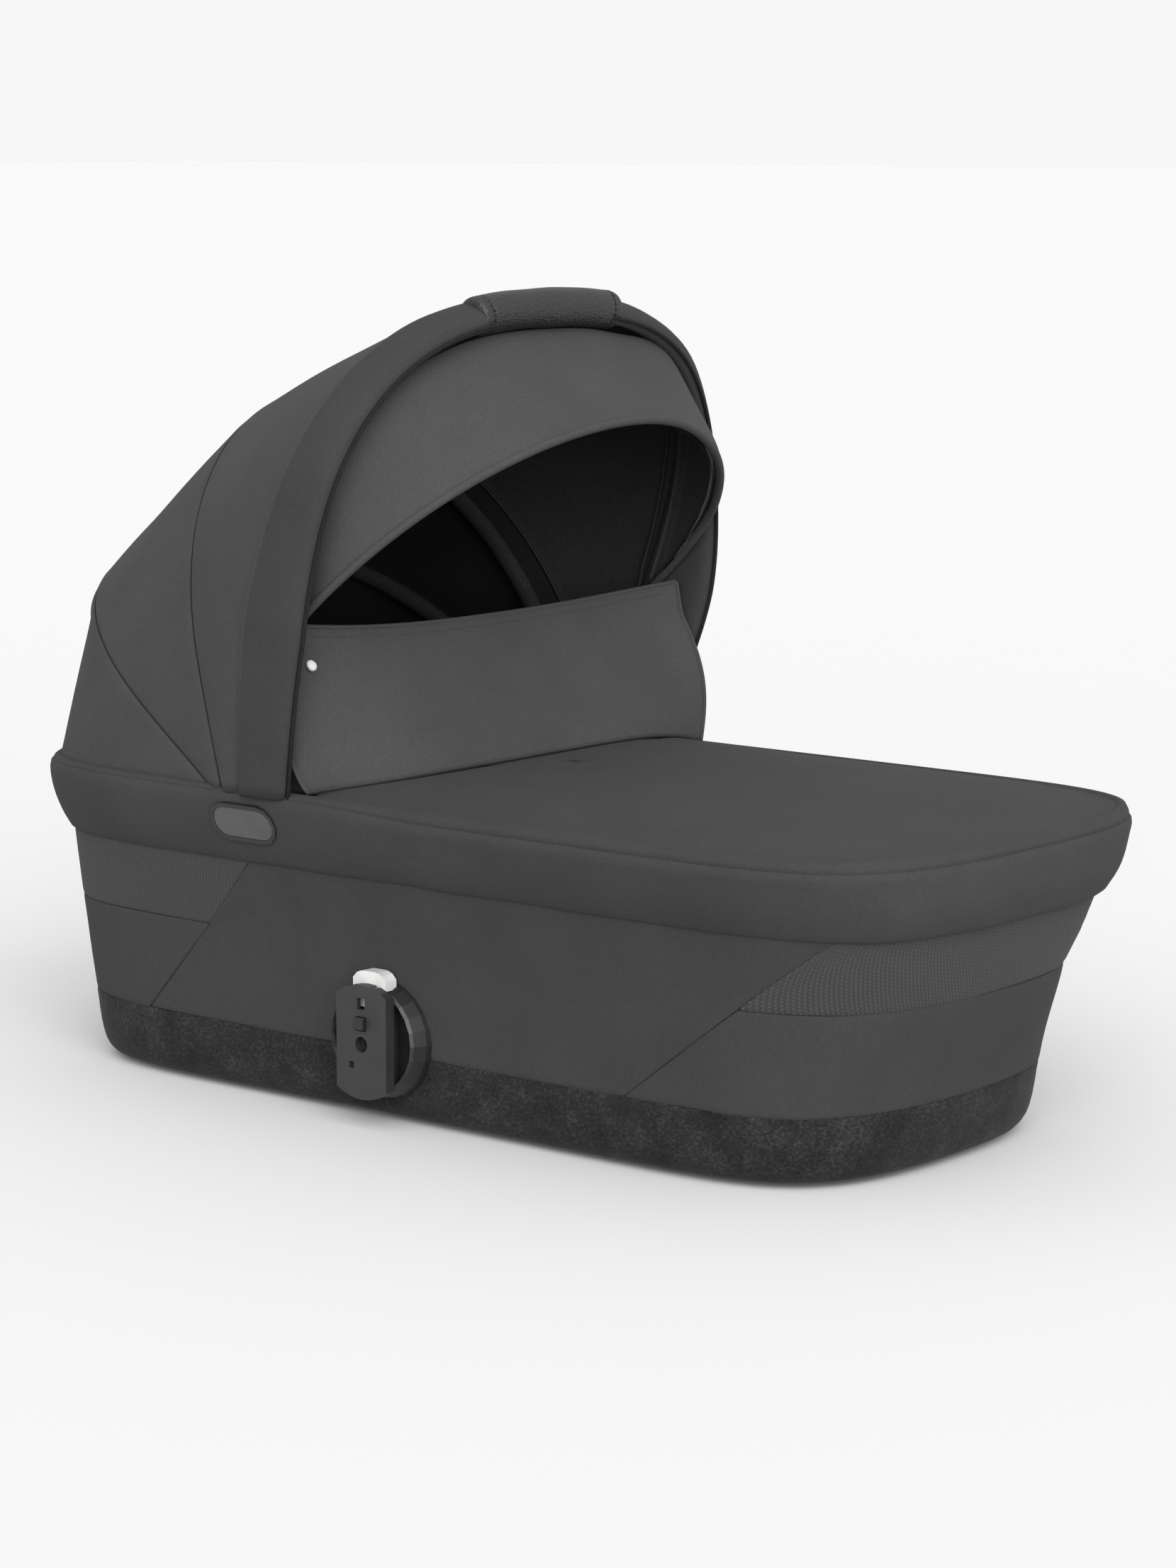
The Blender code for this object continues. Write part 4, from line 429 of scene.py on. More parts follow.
def moulded(name, colour, roughness=0.42, grain=0.25, scale=1600.0):
    """Moulded plastic with a fine spark grain and slight wear in its gloss."""
    tree = Tree(name, colour, roughness, Specular_IOR_Level=0.45)
    fine = tree.noise(scale, 2.0)
    broad = tree.noise(40.0, 3.0)
    tree.shaded(broad, colour, (0.35, 0.65), (0.88, 1.14))
    gloss = tree.add("ShaderNodeMapRange")
    gloss.inputs["To Min"].default_value = roughness - 0.06
    gloss.inputs["To Max"].default_value = roughness + 0.10
    tree.join(broad, gloss.inputs["Value"])
    tree.join(gloss.outputs["Result"], tree.shader.inputs["Roughness"])
    tree.normal(tree.bump(fine, 0.0002, grain))
    return tree.made


def metal(name, colour, roughness):
    """Drawn metal with fine marks along it."""
    tree = Tree(name, colour, roughness, Metallic=1.0)
    fine = tree.noise(900.0, 2.0, tree.stretched((1.0, 0.1, 1.0)))
    tree.shaded(fine, colour, (0.3, 0.7), (0.85, 1.1))
    tree.normal(tree.bump(fine, 0.00015, 0.4))
    return tree.made


# One charcoal cloth in six tones, set piece by piece to the light each gets: the flap, visor and hood
# copies are lighter, painted light; the side cover and band copies are darker, painted shade
CLOTH = woven("rim_cloth", (0.0338, 0.0338, 0.0341), 0.10)
COVER_SHADED_CLOTH = woven("cover_cloth_painted_shade", (0.0322, 0.0322, 0.0325), 0.10)
HOOD_LIT_CLOTH = woven("hood_cloth_painted_light", (0.0395, 0.0395, 0.0398), 0.10)
BAND_SHADED_CLOTH = woven("band_cloth_painted_shade", (0.0310, 0.0310, 0.0313), 0.10)
VISOR_LIT_CLOTH = woven("visor_cloth", (0.0405, 0.0405, 0.0409), 0.10)
FLAP_LIT_CLOTH = woven("flap_cloth_painted_light", (0.0415, 0.0415, 0.0419), 0.10)
LINING = woven("lining_cloth", (0.0100, 0.0100, 0.0102), 0.2)
UNDER = woven("visor_lining", (0.0300, 0.0300, 0.0304), 0.2)
FRONT_LINING = woven("front_lining", (0.0210, 0.0210, 0.0214), 0.2)
SLEEVE = woven("sleeve_cloth", (0.0260, 0.0260, 0.0264), 0.2)
TRIM = woven("trim_cloth", (0.0120, 0.0120, 0.0122), 0.2)
KNIT = knitted("knit_cloth", (0.0390, 0.0390, 0.0395))
STRIP = heathered("strip_cloth", (0.0140, 0.0141, 0.0144))
GRIP = leather("grip_leather", (0.0108, 0.0108, 0.0110))
BLACK = moulded("black_plastic", (0.0072, 0.0072, 0.0074))
PLATE = moulded("plate_plastic", (0.0150, 0.0150, 0.0154), 0.5)
FACE = moulded("face_plastic", (0.0450, 0.0450, 0.0458), 0.5)
WHITE = moulded("white_plastic", (0.50, 0.50, 0.495), 0.35, 0.1)
STEEL = metal("bright_steel", (0.42, 0.42, 0.43), 0.28)
ALLOY = metal("dull_alloy", (0.25, 0.25, 0.26), 0.42)
RUBBER = moulded("dull_rubber", (0.0100, 0.0100, 0.0100), 0.8, 0.5, 700.0)

LOOKS_OF_NODES = {
    BLACK: [
        "tub_shell", "hinge_housing", "badge_ring", "adapter_hub", "catch", "adapter_screw", "mid_hoop",
        "rear_hoop", "visor_bush",
    ],
    RUBBER: ["base_pad"],
    FACE: ["badge_face"],
    PLATE: ["hood_button", "adapter_plate"],
    WHITE: ["release_button"],
    ALLOY: ["front_hoop"],
    STEEL: ["hinge_pin", "lock_ring", "lock_spring", "release_spring", "visor_wire"],
}
for look, starts in LOOKS_OF_NODES.items():
    for name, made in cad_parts.items():
        if name.startswith(tuple(starts)):
            for slot in made.material_slots:
                slot.material = look


# Side cover, knit panels and base strip

# The slanting edges of the knit panels: place along X at the hem, and the slope down from there
HEAD_EDGE, HEAD_SLOPE = -0.1545, 0.95
FOOT_EDGE, FOOT_SLOPE = 0.366, 1.30
# The thickness of plain cloth, of the rim's and the hood's, and of a hoop's sleeve
CLOTH_SKIN, HOOD_SKIN, THIN_SKIN = 0.0012, 0.0014, 0.0008


def head_line(side):
    """The head panel's edge, as an index on the outline for a height."""
    return lambda z: place_on_ring(z, HEAD_EDGE - HEAD_SLOPE * (HEM_Z - z), side)


def foot_line(side):
    """The foot panel's edge, likewise."""
    return lambda z: place_on_ring(z, FOOT_EDGE - FOOT_SLOPE * (HEM_Z - z), side)


def past(line, turns):
    """The same line, some turns further round the outline."""
    return lambda z: line(z) + turns * len(ENDS)


TOP = HEM_Z + 0.003
for word, side in BOTH:
    lines = (foot_line(side), head_line(side)) if side < 0 else (head_line(side), foot_line(side))
    wall_panel(f"cover_side_{word}", STRIP_TOP, TOP, *lines, 24, 90, "cloth", COVER_SHADED_CLOTH, 3 + side)
head = (head_line(-1), head_line(1))
foot = (past(foot_line(1), -1), foot_line(-1))
wall_panel("cover_head", STRIP_TOP, KNIT_LOW, *head, 18, 90, "cloth", COVER_SHADED_CLOTH, 6)
wall_panel("cover_foot", STRIP_TOP, KNIT_LOW, *foot, 18, 90, "cloth", COVER_SHADED_CLOTH, 7, ["side_cover"])
wall_panel("knit_head", KNIT_LOW, TOP, *head, 16, 90, "knit", KNIT, 8, ["knit_panel_head"])
wall_panel("knit_foot", KNIT_LOW, TOP, *foot, 16, 90, "knit", KNIT, 9, ["knit_panel_foot"])

# The base strip from under the floor's edge up to its seam: height and place out from the wall
STRIP_PROFILE = [
    (0.0072, -0.016), (0.0062, -0.010), (0.0072, -0.0062), (0.0105, -0.0033), (0.0150, -0.0014),
    (0.0200, -0.0004), (0.0280, 0.0004), (0.0380, 0.0006), (0.0460, 0.0004), (0.0505, 0.0003),
    (0.0528, 0.0), (0.0540, -0.0007), (0.0544, -0.0016),
]


def base_strip():
    """The heathered strip, with a slight pucker along its top seam."""
    rows = []
    for height, offset in STRIP_PROFILE:
        points = ring(height, offset, max(height, LEVELS[0, 0]))
        out = outward(height)
        pucker = 0.0005 * np.sin(np.arange(len(points)) * 2.1) * step(0.044, 0.053, height)
        points += out * (0.0008 * waves(points, 0.11, 12) * step(0.008, 0.02, height) + pucker)[:, None]
        rows.append(points)
    made = piece("strip", grid(rows, True), "tub", [STRIP], CLOTH_SKIN)
    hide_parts("base_strip")


base_strip()

# A stitch: how far its edges lie in the cloth, its ends stand up and its middle rises above them
STITCH_SUNK, STITCH_PROUD, STITCH_ARCH = 0.0004, 0.0002, 0.0005


def stitches(name, line, out, length, gap, body, look, width=0.0007):
    """A row of short threads along a line, raised along the given directions."""
    travelled = travel(line)
    verts, faces = [], []

    def pick(values, place):
        return np.array([np.interp(place, travelled, values[:, i]) for i in range(3)])

    for start in np.arange(0, travelled[-1] - length, length + gap):
        ends = [pick(line, start + length * share) for share in (0.0, 0.5, 1.0)]
        up = pick(out, start + length / 2)
        up /= np.linalg.norm(up)
        along = ends[2] - ends[0]
        along /= np.linalg.norm(along)
        across = np.cross(along, up)
        base = len(verts)
        for centre, lift, wide in zip(ends, (0.0, STITCH_ARCH, 0.0), (0.6, 1.0, 0.6)):
            edge, sunk = across * width * wide / 2, centre - up * STITCH_SUNK
            verts += [sunk + edge, centre + up * (lift + STITCH_PROUD), sunk - edge]
        for k in (base, base + 3):
            faces += [(k + i, k + (i + 1) % 3, k + 3 + (i + 1) % 3, k + 3 + i) for i in range(3)]
        faces.append((base + 2, base + 1, base))
        faces.append((base + 6, base + 7, base + 8))
    return piece(name, (verts, faces), body, [look])


STITCH_LINE = STRIP_TOP + 0.0022
line, out = ring(STITCH_LINE), outward(STITCH_LINE)
line = np.vstack([line, line[:1]])
out = np.vstack([out, out[:1]])
stitches("strip_stitches", line + out * 0.0002, out, 0.0030, 0.0022, "tub", TRIM)


# Skirt round the rim, with the apron's top

# From the turned-in hem up to the lip behind the apron's seam: height and place out from the wall
SKIRT_HEM = [
    (0.2060, -0.0030), (0.1960, -0.0026), (0.1890, -0.0016), (0.1868, 0.0002), (0.1868, 0.0018),
    (0.1882, 0.0032),
]
SKIRT_SEAM = [
    (0.2402, 0.0014), (0.2406, -0.0004), (0.2411, -0.0006), (0.2415, 0.0006), (0.2424, -0.0002),
    (0.2436, -0.0022), (0.2440, -0.0050), (0.2430, -0.0085), (0.2395, -0.0105),
]


def skirt_profile():
    """Heights and offsets of the skirt's rows, from its hem over its bulge to its seam."""
    middle = []
    for share in np.linspace(0.10, 0.97, 12):
        height = HEM_Z + share * (SEAM_Z - HEM_Z)
        middle.append((height, max(bulge(height), 0.0035 * (1 - share))))
    return SKIRT_HEM + middle + SKIRT_SEAM


def lowered(points):
    """Drops the seam round the apron in front of the hood."""
    points = np.array(points)
    height = points[..., 2]
    near_seam = step(0.222, 0.2402, height) * (1 - step(0.2412, 0.2436, height))
    points[..., 2] -= 0.0050 * near_seam * step(-0.10, 0.05, points[..., 0])
    return points


def skirt():
    """The rim's cloth: a rounded band with a soft surface, pressed in round each badge."""
    rows = []
    for i, (height, offset) in enumerate(skirt_profile()):
        points = ring(height, offset, min(height, SEAM_Z))
        out = outward(height)
        full = step(0.186, 0.195, height) * (1 - step(0.238, 0.243, height))
        soft = 0.0009 * waves(points, 0.13, 21) * full + 0.0004 * waves(points, 0.035, 22) * full
        if i < len(SKIRT_HEM) + 2:
            points[:, 2] += 0.0006 * waves(points, 0.07, 23)
        near_badge = np.hypot((points[:, 0] - PIVOT[0]) / 0.040, (height - PIVOT[2]) / 0.022)
        soft -= 0.0012 * (1 - step(0.7, 1.15, near_badge))
        rows.append(points + out * soft[:, None])
    rows = lowered(fuller(rows, True))
    made = piece("skirt", grid(rows, True), "tub", [CLOTH], HOOD_SKIN)
    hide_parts("rim_band")


def seam_thread(name, line, body, radius=0.0005, closed=False):
    """A dark thread in the bottom of a seam."""
    if closed:
        line = np.vstack([line, line[:2]])
    return piece(name, tube(line, radius, 6), body, [TRIM])


# The threads of the wall's seams: radius, and place out from the wall
SEAM_RADIUS, SEAM_PROUD = 0.0006, 0.0006

skirt()
seam_thread("rim_seam", lowered(fuller(ring(0.2409, -0.0001, SEAM_Z), True)), "tub", closed=True)
seam_thread("strip_seam", ring(STRIP_TOP + 0.0004, 0.0004), "tub", SEAM_RADIUS, closed=True)


def wall_seam(name, line, low, high):
    """A seam down the wall along a line of the outline."""
    points = []
    for height in np.linspace(low, high, 24):
        points.append(along_ring(ring(height, SEAM_PROUD), np.array([line(height) % len(ENDS)]))[0])
    seam_thread(name, fuller(points), "tub", SEAM_RADIUS)


def level_seam(name, start, stop):
    """A seam along the wall at the knit panels' lower edge."""
    index = np.linspace(start(KNIT_LOW), stop(KNIT_LOW), 160) % len(ENDS)
    seam_thread(name, fuller(along_ring(ring(KNIT_LOW, SEAM_PROUD), index)), "tub", SEAM_RADIUS)


for word, side in BOTH:
    wall_seam(f"head_seam_{word}", head_line(side), STRIP_TOP + 0.001, TOP)
    wall_seam(f"foot_seam_{word}", foot_line(side), STRIP_TOP + 0.001, TOP)
level_seam("knit_seam_head", *head)
level_seam("knit_seam_foot", *foot)

# The wind flap's foot: half its width, and how far each end is swept back
FLAP_HALF, FLAP_SWEEP_NEAR, FLAP_SWEEP_FAR = 0.198, 0.056, 0.002
# The apron's edge and crown: height, rise at the middle, and how it flattens towards the foot end
APRON_LOW, APRON_CROWN, APRON_POWER = 0.2435, 0.0128, 5.0
FLATTER_CROWN, FLATTER_POWER = 0.0048, 2.4
APRON_SHIFT = LEVELS[-1, 3]
APRON_EDGE = np.roll(ring(0.2430, -0.0042, SEAM_Z), QUARTER * 2, axis=0)


def flap_x(y):
    """The wind flap's line on the apron. Its slack far end lies further forward than its near end."""
    sweep = np.where(y < 0, FLAP_SWEEP_NEAR, FLAP_SWEEP_FAR)
    return FLAP[0] - sweep * np.abs(y / FLAP_HALF) ** 5


def crown(share, x):
    """The apron's height at a share of the way in from its edge. It is flatter towards the foot end."""
    flatter = step(0.0, 0.34, x)
    power = APRON_POWER - FLATTER_POWER * flatter
    return APRON_LOW + (APRON_CROWN - FLATTER_CROWN * flatter) * (1 - (1 - share) ** power)


def apron_height(x, y):
    """The height of the apron's crowned top."""
    edge = APRON_EDGE[:, :2] - [APRON_SHIFT, 0.0]
    around = np.arctan2(edge[:, 1], edge[:, 0])
    order = np.argsort(around)
    reach = np.interp(np.arctan2(y, x - APRON_SHIFT), around[order], np.linalg.norm(edge, axis=1)[order])
    return crown(1 - np.minimum(1, np.hypot(x - APRON_SHIFT, y) / reach), x)


def apron():
    """The crowned top, from the seam to the wind flap's line."""
    centre = np.array([APRON_SHIFT, 0.0])
    fine = np.linspace(0, 0.999, 400)
    columns = []
    for point in APRON_EDGE:
        ray = point[:2] + fine[:, None] * (centre - point[:2])
        ahead = ray[:, 0] > flap_x(ray[:, 1]) - 0.004
        start = fine[np.argmax(ahead)] if ahead.any() else 1.0
        share = start + (1 - start) * np.concatenate([[0.0, 0.012, 0.03], np.linspace(0.06, 1, 22) ** 1.15])
        share = np.minimum(share, 0.9995)
        ray = point[:2] + share[:, None] * (centre - point[:2])
        height = crown(share, ray[:, 0])
        height = height + 0.0002 * (1 - step(0, 0.018, share)) * (1 - step(0.0, 0.01, start))
        columns.append(np.column_stack([ray, height]))
    rows = np.array(columns).transpose(1, 0, 2)
    full = step(0.0, 0.1, np.linspace(0, 1, len(rows)))[:, None]
    rows[:, :, 2] += 0.0010 * waves(rows, 0.16, 31) * full
    rows = fuller(rows, True)
    made = piece("apron_top", turned(grid(rows, True)), "tub", [CLOTH], HOOD_SKIN)
    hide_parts("apron")


apron()


# Liner and mattress

LINER_PROFILE = [
    (0.2050, -0.0095), (0.2020, -0.0088), (0.1870, -0.0092), (0.130, -0.0098), (0.060, -0.0098),
    (0.030, -0.0105), (0.020, -0.0130), (0.0150, -0.0200), (0.0145, -0.0400),
]
# The mattress's lower height, its gap to the wall, and its rounded side: how far in and how far up
MATTRESS_LOW, MATTRESS_GAP = 0.0155, 0.0240
MATTRESS_SIDE = [
    (0.030, 0.0), (0.014, 0.001), (0.006, 0.005), (0.002, 0.012), (0.002, 0.018), (0.006, 0.025),
    (0.014, 0.0295), (0.030, 0.0315),
]
MATTRESS_CROWN, TUFT_DEPTH, TUFT_TURNS = 0.0035, 0.0016, 52


def liner():
    """The cloth inside the tub, from its rim down to the floor's edge."""
    rows = []
    for height, offset in LINER_PROFILE:
        points = ring(height, offset, min(height, HEM_Z))
        rows.append(points + outward(height) * (0.0010 * waves(points, 0.08, 41) - 0.0006)[:, None])
    made = piece("liner_cloth", turned(grid(rows, True)), "tub", [LINING], CLOTH_SKIN)
    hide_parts("liner")


def mattress():
    """A low pad with a rounded side and a shallow tufted top."""
    rows = [ring(MATTRESS_LOW + up, -MATTRESS_GAP - inward, 0.03) for inward, up in MATTRESS_SIDE]
    edge = rows[-1]
    for share in (0.12, 0.3, 0.5, 0.7, 0.9, 0.999):
        inner = edge * (1 - share) + np.array([LEVELS[0, 3], 0, 0]) * share
        inner[:, 2] = edge[:, 2] + MATTRESS_CROWN * (1 - (1 - share) ** 2)
        tufts = np.abs(np.sin(inner[:, 0] * TUFT_TURNS) * np.sin(inner[:, 1] * TUFT_TURNS)) ** 0.5
        inner[:, 2] -= TUFT_DEPTH * tufts * step(0, 0.3, share)
        rows.append(inner)
    verts, faces = grid(rows, True)
    faces.append(tuple(range(len(edge)))[::-1])
    made = piece("mattress_pad", (verts, faces), "tub", [LINING])
    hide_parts("mattress")


liner()
mattress()


# Hood

# Each arch: lean back from upright in degrees, crest, half width, height where it is widest,
# how much its foot is drawn in, and how full it is
HOOPS = {
    "rear": (54.9, 0.300, 0.1970, 0.090, 0.004, 2.6),
    "mid": (25.2, 0.298, 0.2030, 0.080, 0.006, 2.25),
    "front": (-17.6, 0.397, 0.2300, 0.1975, 0.030, 2.6),
    "rear_seam": (54.0, 0.2985, 0.1990, 0.090, 0.004, 2.6),
    "mid_seam": (20.7, 0.3217, 0.2051, 0.080, 0.006, 2.07),
}
HOOD_Z = SEAM_Z + 0.0005
HOOD_MIDDLE = np.array([-0.12, 0.0, 0.27])
COLUMNS = 121
# How far the cloth's seams lie over the hoops, and the cloth stays off them
OVER, HOOP_GAP, HOOP_REACH = 0.0055, 0.0048, 0.0058
# How far and how wide cloth is pressed in beside a seam of the hood
SEWN_WIDTH, SEWN_DEPTH = 0.006, 0.0016


def hoop_axes(lean):
    """Up along a hoop's plane, and square to it, towards the foot end."""
    angle = math.radians(lean)
    return np.array([-math.sin(angle), 0, math.cos(angle)]), np.array([math.cos(angle), 0, math.sin(angle)])


def profile(hoop, spread, start):
    """Half widths and heights along half an arch, from a start height to the crest."""
    _, crest, half_width, widest, draw_in, fullness = HOOPS[hoop]
    low = np.linspace(start, widest, 60, endpoint=False)
    drawn = half_width + spread - draw_in * (1 - low / widest) ** 1.6
    angle = np.linspace(0, math.pi / 2, 300)
    half = (half_width + spread) * np.cos(angle) ** (2 / fullness)
    rise = (crest + spread - widest) * np.sin(angle) ** (2 / fullness)
    return np.concatenate([drawn, half]), np.concatenate([low, widest + rise])


def mirrored(half, count):
    """Half an arch and its mirror image, as one line with a number of points."""
    across = np.ones(half.shape[1])
    across[0] = -1
    return even(np.concatenate([half, (half * across)[-2::-1]]), count)


def set_up(flat, hoop):
    """Places across, up along and square to a hoop's plane, as points round the hood's axis."""
    up, across = hoop_axes(HOOPS[hoop][0])
    points = PIVOT + np.outer(flat[:, 1], up) + np.outer(flat[:, 2], across)
    points[:, 1] += flat[:, 0]
    return points


def arch(hoop, spread=0.0, fore=0.0, base=HOOD_Z, count=COLUMNS):
    """A line over a hoop from the near side to the far one. Fore may be a function of the height."""
    up, across = hoop_axes(HOOPS[hoop][0])
    shift = fore if callable(fore) else lambda height: np.full_like(height, fore)
    start = (base - PIVOT[2] - shift(np.array([0.02]))[0] * across[2]) / up[2]
    width, height = profile(hoop, spread, start)
    return set_up(mirrored(np.stack([-width, height, shift(height)], 1), count), hoop)


def rim_line():
    """The hood's edge on the rim, round the head end."""
    points = ring(HOOD_Z, -0.0035, SEAM_Z)
    head = points[points[:, 0] < PIVOT[0] - 0.040]
    head = head[np.argsort(np.arctan2(head[:, 1], -head[:, 0]))]
    return even(head, COLUMNS)


def cloth(name, rows, looks, thickness, replaced):
    """Cloth between two bodies, as a grid of points, in place of a solid."""
    made = piece(name, turned(grid(rows)), None, looks, thickness)
    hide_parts(replaced)
    return made


def fold_between(made):
    """Bakes the piece's placing into its mesh."""
    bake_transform(made)


def finished(made):
    """Turns a piece's skin into plain mesh."""
    graph = bpy.context.evaluated_depsgraph_get()
    final = bpy.data.meshes.new_from_object(made.evaluated_get(graph), depsgraph=graph)
    made.modifiers.clear()
    made.data = final
    return made


def inward_of(points):
    """Directions towards the middle of the hood."""
    way = HOOD_MIDDLE - points
    return way / np.linalg.norm(way, axis=-1)[..., None]


def pleats(rows, strength, seed, size):
    """Slack across rows of cloth, strongest half way and none at the seams."""
    middle = np.sin(np.linspace(0, math.pi, len(rows)))[:, None]
    push = strength * waves(rows, size, seed) * middle
    return rows - inward_of(rows) * push[..., None]


def sewn(rows, last=True):
    """Presses cloth in beside its first seam, and beside its last one where it has one."""
    steps = np.linalg.norm(np.diff(rows, axis=0), axis=2)
    travelled = np.vstack([np.zeros(rows.shape[1]), np.cumsum(steps, axis=0)])
    push = dip(travelled, SEWN_WIDTH, SEWN_DEPTH)
    if last:
        push += dip(travelled[-1] - travelled, SEWN_WIDTH, SEWN_DEPTH)
    return rows - inward_of(rows) * push[..., None]


def spaced(first, last, count, sag):
    """Rows of cloth from one line to another, closer at both, drawn in between them by a sag."""
    inward = inward_of((first + last) / 2)
    rows = []
    for share in edge_spacing(count, 2.0):
        rows.append(first + share * (last - first) + inward * sag * math.sin(math.pi * share))
    return np.array(rows)


def clear_of(rows, hoop):
    """Lifts cloth off a hoop that it lies over."""
    up, across = hoop_axes(HOOPS[hoop][0])
    centre = np.array([0.0, 0.10])
    outline = np.stack(profile(hoop, HOOP_GAP, 0.045), 1) - centre
    around = np.arctan2(outline[:, 1], outline[:, 0])
    points = rows.reshape(-1, 3) - PIVOT
    flat = np.stack([np.abs(points[:, 1]), points @ up], 1) - centre
    angle = np.arctan2(flat[:, 1], flat[:, 0])
    radius = np.linalg.norm(flat, axis=1)
    wanted = np.interp(angle, around, np.linalg.norm(outline, axis=1))
    wanted -= 0.8 * np.maximum(0, np.abs(points @ across) - HOOP_REACH)
    push = np.maximum(0, wanted - radius) * (flat[:, 1] > -0.06)
    way = flat / radius[:, None]
    moved = points + np.outer(push * way[:, 1], up)
    moved[:, 1] += np.sign(points[:, 1]) * push * way[:, 0]
    return (moved + PIVOT).reshape(rows.shape)


def slack(points, forward, out):
    """Lets the far side of the hood's cloth hang a little forward and out."""
    far = step(0.10, 0.19, points[..., 1]) * step(0.250, 0.31, points[..., 2])
    far = far * (1 - step(0.33, 0.53, points[..., 2]))
    return points + far[..., None] * np.array([forward, out, 0.0])


def drawn_back(amount):
    """Takes the lower end of a seam back from the hinge."""
    return lambda height: -amount * np.clip(1 - height / 0.13, 0, 1) ** 2


rim = rim_line()
rear_ridge = arch("rear_seam", OVER, drawn_back(0.006))
mid_ridge = slack(arch("mid_seam", OVER, drawn_back(0.020)), 0.014, 0.004)
rows = clear_of(pleats(sewn(spaced(rim, rear_ridge, 34, -0.0006)), 0.0014, 51, 0.09), "rear")
made = finished(cloth("hood_rear", rows, [HOOD_LIT_CLOTH, LINING], HOOD_SKIN, "hood_rear_panel"))
fold_between(made)

rows = pleats(sewn(spaced(rear_ridge, mid_ridge, 34, -0.0012)), 0.0012, 52, 0.08)
rows = clear_of(clear_of(rows, "rear"), "mid")
made = finished(cloth("hood_mid", rows, [HOOD_LIT_CLOTH, LINING], HOOD_SKIN, "hood_mid_panel"))
fold_between(made)

BAND_LIFT = 0.0070
# How far the band reaches square to the front hoop: at its foot, part way up and at the crest
BAND_BEHIND, BAND_AHEAD = (-0.008, -0.024, -0.0165), (0.036, 0.033, 0.0135)
# The band stops where the grip begins, and the cloth under the grip lies this much closer to the hoop
GRIP_HALF, UNDER_GRIP = 0.0730, 0.6


def front_row(share, lift, half=None, count=COLUMNS):
    """A line along the front hoop, whole or its near or far half.

    The share runs from -1 at the band's rear edge to 1 in front.
    """
    up, across = hoop_axes(HOOPS["front"][0])
    low, mid, top = BAND_BEHIND if share < 0 else BAND_AHEAD
    start = (HOOD_Z - PIVOT[2] - abs(share) * low * across[2]) / up[2]
    width, height = profile("front", lift, start)
    shift = abs(share) * np.interp(height, [0.0243, 0.160, HOOPS["front"][1]], [low, mid, top])
    if half is None:
        closer = UNDER_GRIP * (1 - step(0.066, GRIP_HALF, width))
        plain_width, plain_height = profile("front", 0.0, start)
        width = width + (plain_width - width) * closer
        height = height + (plain_height - height) * closer
        line = mirrored(np.stack([-width, height, shift * (1 - closer)], 1), count)
    else:
        line = even(np.stack([half * width, height, shift], 1)[width > GRIP_HALF], count)
    forward = np.interp(share, [-1, 1], [0.010, 0.026])
    return slack(set_up(line, "front"), forward, 0.008 * np.clip(lift / BAND_LIFT, 0, 1))


# The cover over the band, from behind to in front: shares of its reach and of its lift
BAND_TOP_SHARES = [
    (-1.02, 0.20), (-0.97, 0.38), (-0.88, 0.62), (-0.7, 0.84), (-0.45, 0.98), (-0.15, 1.02),
    (0.2, 1.02), (0.5, 0.97), (0.75, 0.80), (0.91, 0.50), (1.0, 0.08), (1.0, -0.35),
]
over_band = np.array([front_row(share, lift * BAND_LIFT + 0.0009) for share, lift in BAND_TOP_SHARES])
rows = pleats(sewn(spaced(mid_ridge, over_band[0], 38, -0.0028), last=False), 0.0013, 53, 0.10)
rows = np.concatenate([clear_of(rows, "mid"), over_band[1:]])
top = rows[-len(over_band) :]
uneven = waves(top, 0.05, 61) * step(0.09, 0.12, np.abs(over_band[:, :, 1]))
top += 0.0007 * uneven[..., None] * np.array([0.3, 0.0, 1.0])
made = cloth("hood_front", rows, [HOOD_LIT_CLOTH, BAND_SHADED_CLOTH, FRONT_LINING], CLOTH_SKIN, "hood_front_panel")
# The band's darker copy of the hood cloth, painted shade where the cloth turns over the front hoop, starts
# four rows up its rear edge
for face in made.data.polygons[-(len(over_band) - 4) * (COLUMNS - 1) :]:
    face.material_index = 1
made = finished(made)
# A dark tube along the band's front edge: painted shadow of the gap between the band and the visor
piping = front_row(1.0, -0.25 * BAND_LIFT) + 0.0022 * hoop_axes(HOOPS["front"][0])[1]
seam_thread("band_piping_painted_shadow", piping, "handle", 0.0015)
for word, ridge in (("rear", rear_ridge), ("mid", mid_ridge)):
    seam_thread(f"seam_{word}", ridge + CLOTH_SKIN * inward_of(ridge), f"{word}_arch")
fold_between(made)

# The band's section, round from its rear edge: shares of its reach and of its lift
BAND_SHARES = [
    (-0.86, -0.35), (-0.95, -0.20), (-0.97, 0.05), (-0.94, 0.30), (-0.86, 0.52), (-0.7, 0.72),
    (-0.45, 0.84), (-0.15, 0.88), (0.2, 0.88), (0.5, 0.83), (0.75, 0.66), (0.90, 0.38), (0.97, 0.0),
    (0.96, -0.4), (0.90, -0.78), (0.75, -1.0), (0.5, -1.06), (0.2, -1.05), (-0.15, -1.0), (-0.4, -0.9),
]
# The band's halves wear the same darker cloth: painted shade where the cloth turns over the hoop
for word, side in BOTH:
    rows = np.array([front_row(share, lift * BAND_LIFT, side, 60) for share, lift in BAND_SHARES])
    shape = turned(grid(rows)) if side > 0 else grid(rows)
    made = piece(f"band_{word}", shape, "handle", [BAND_SHADED_CLOTH], CLOTH_SKIN)
    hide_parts(f"front_band_{word}")


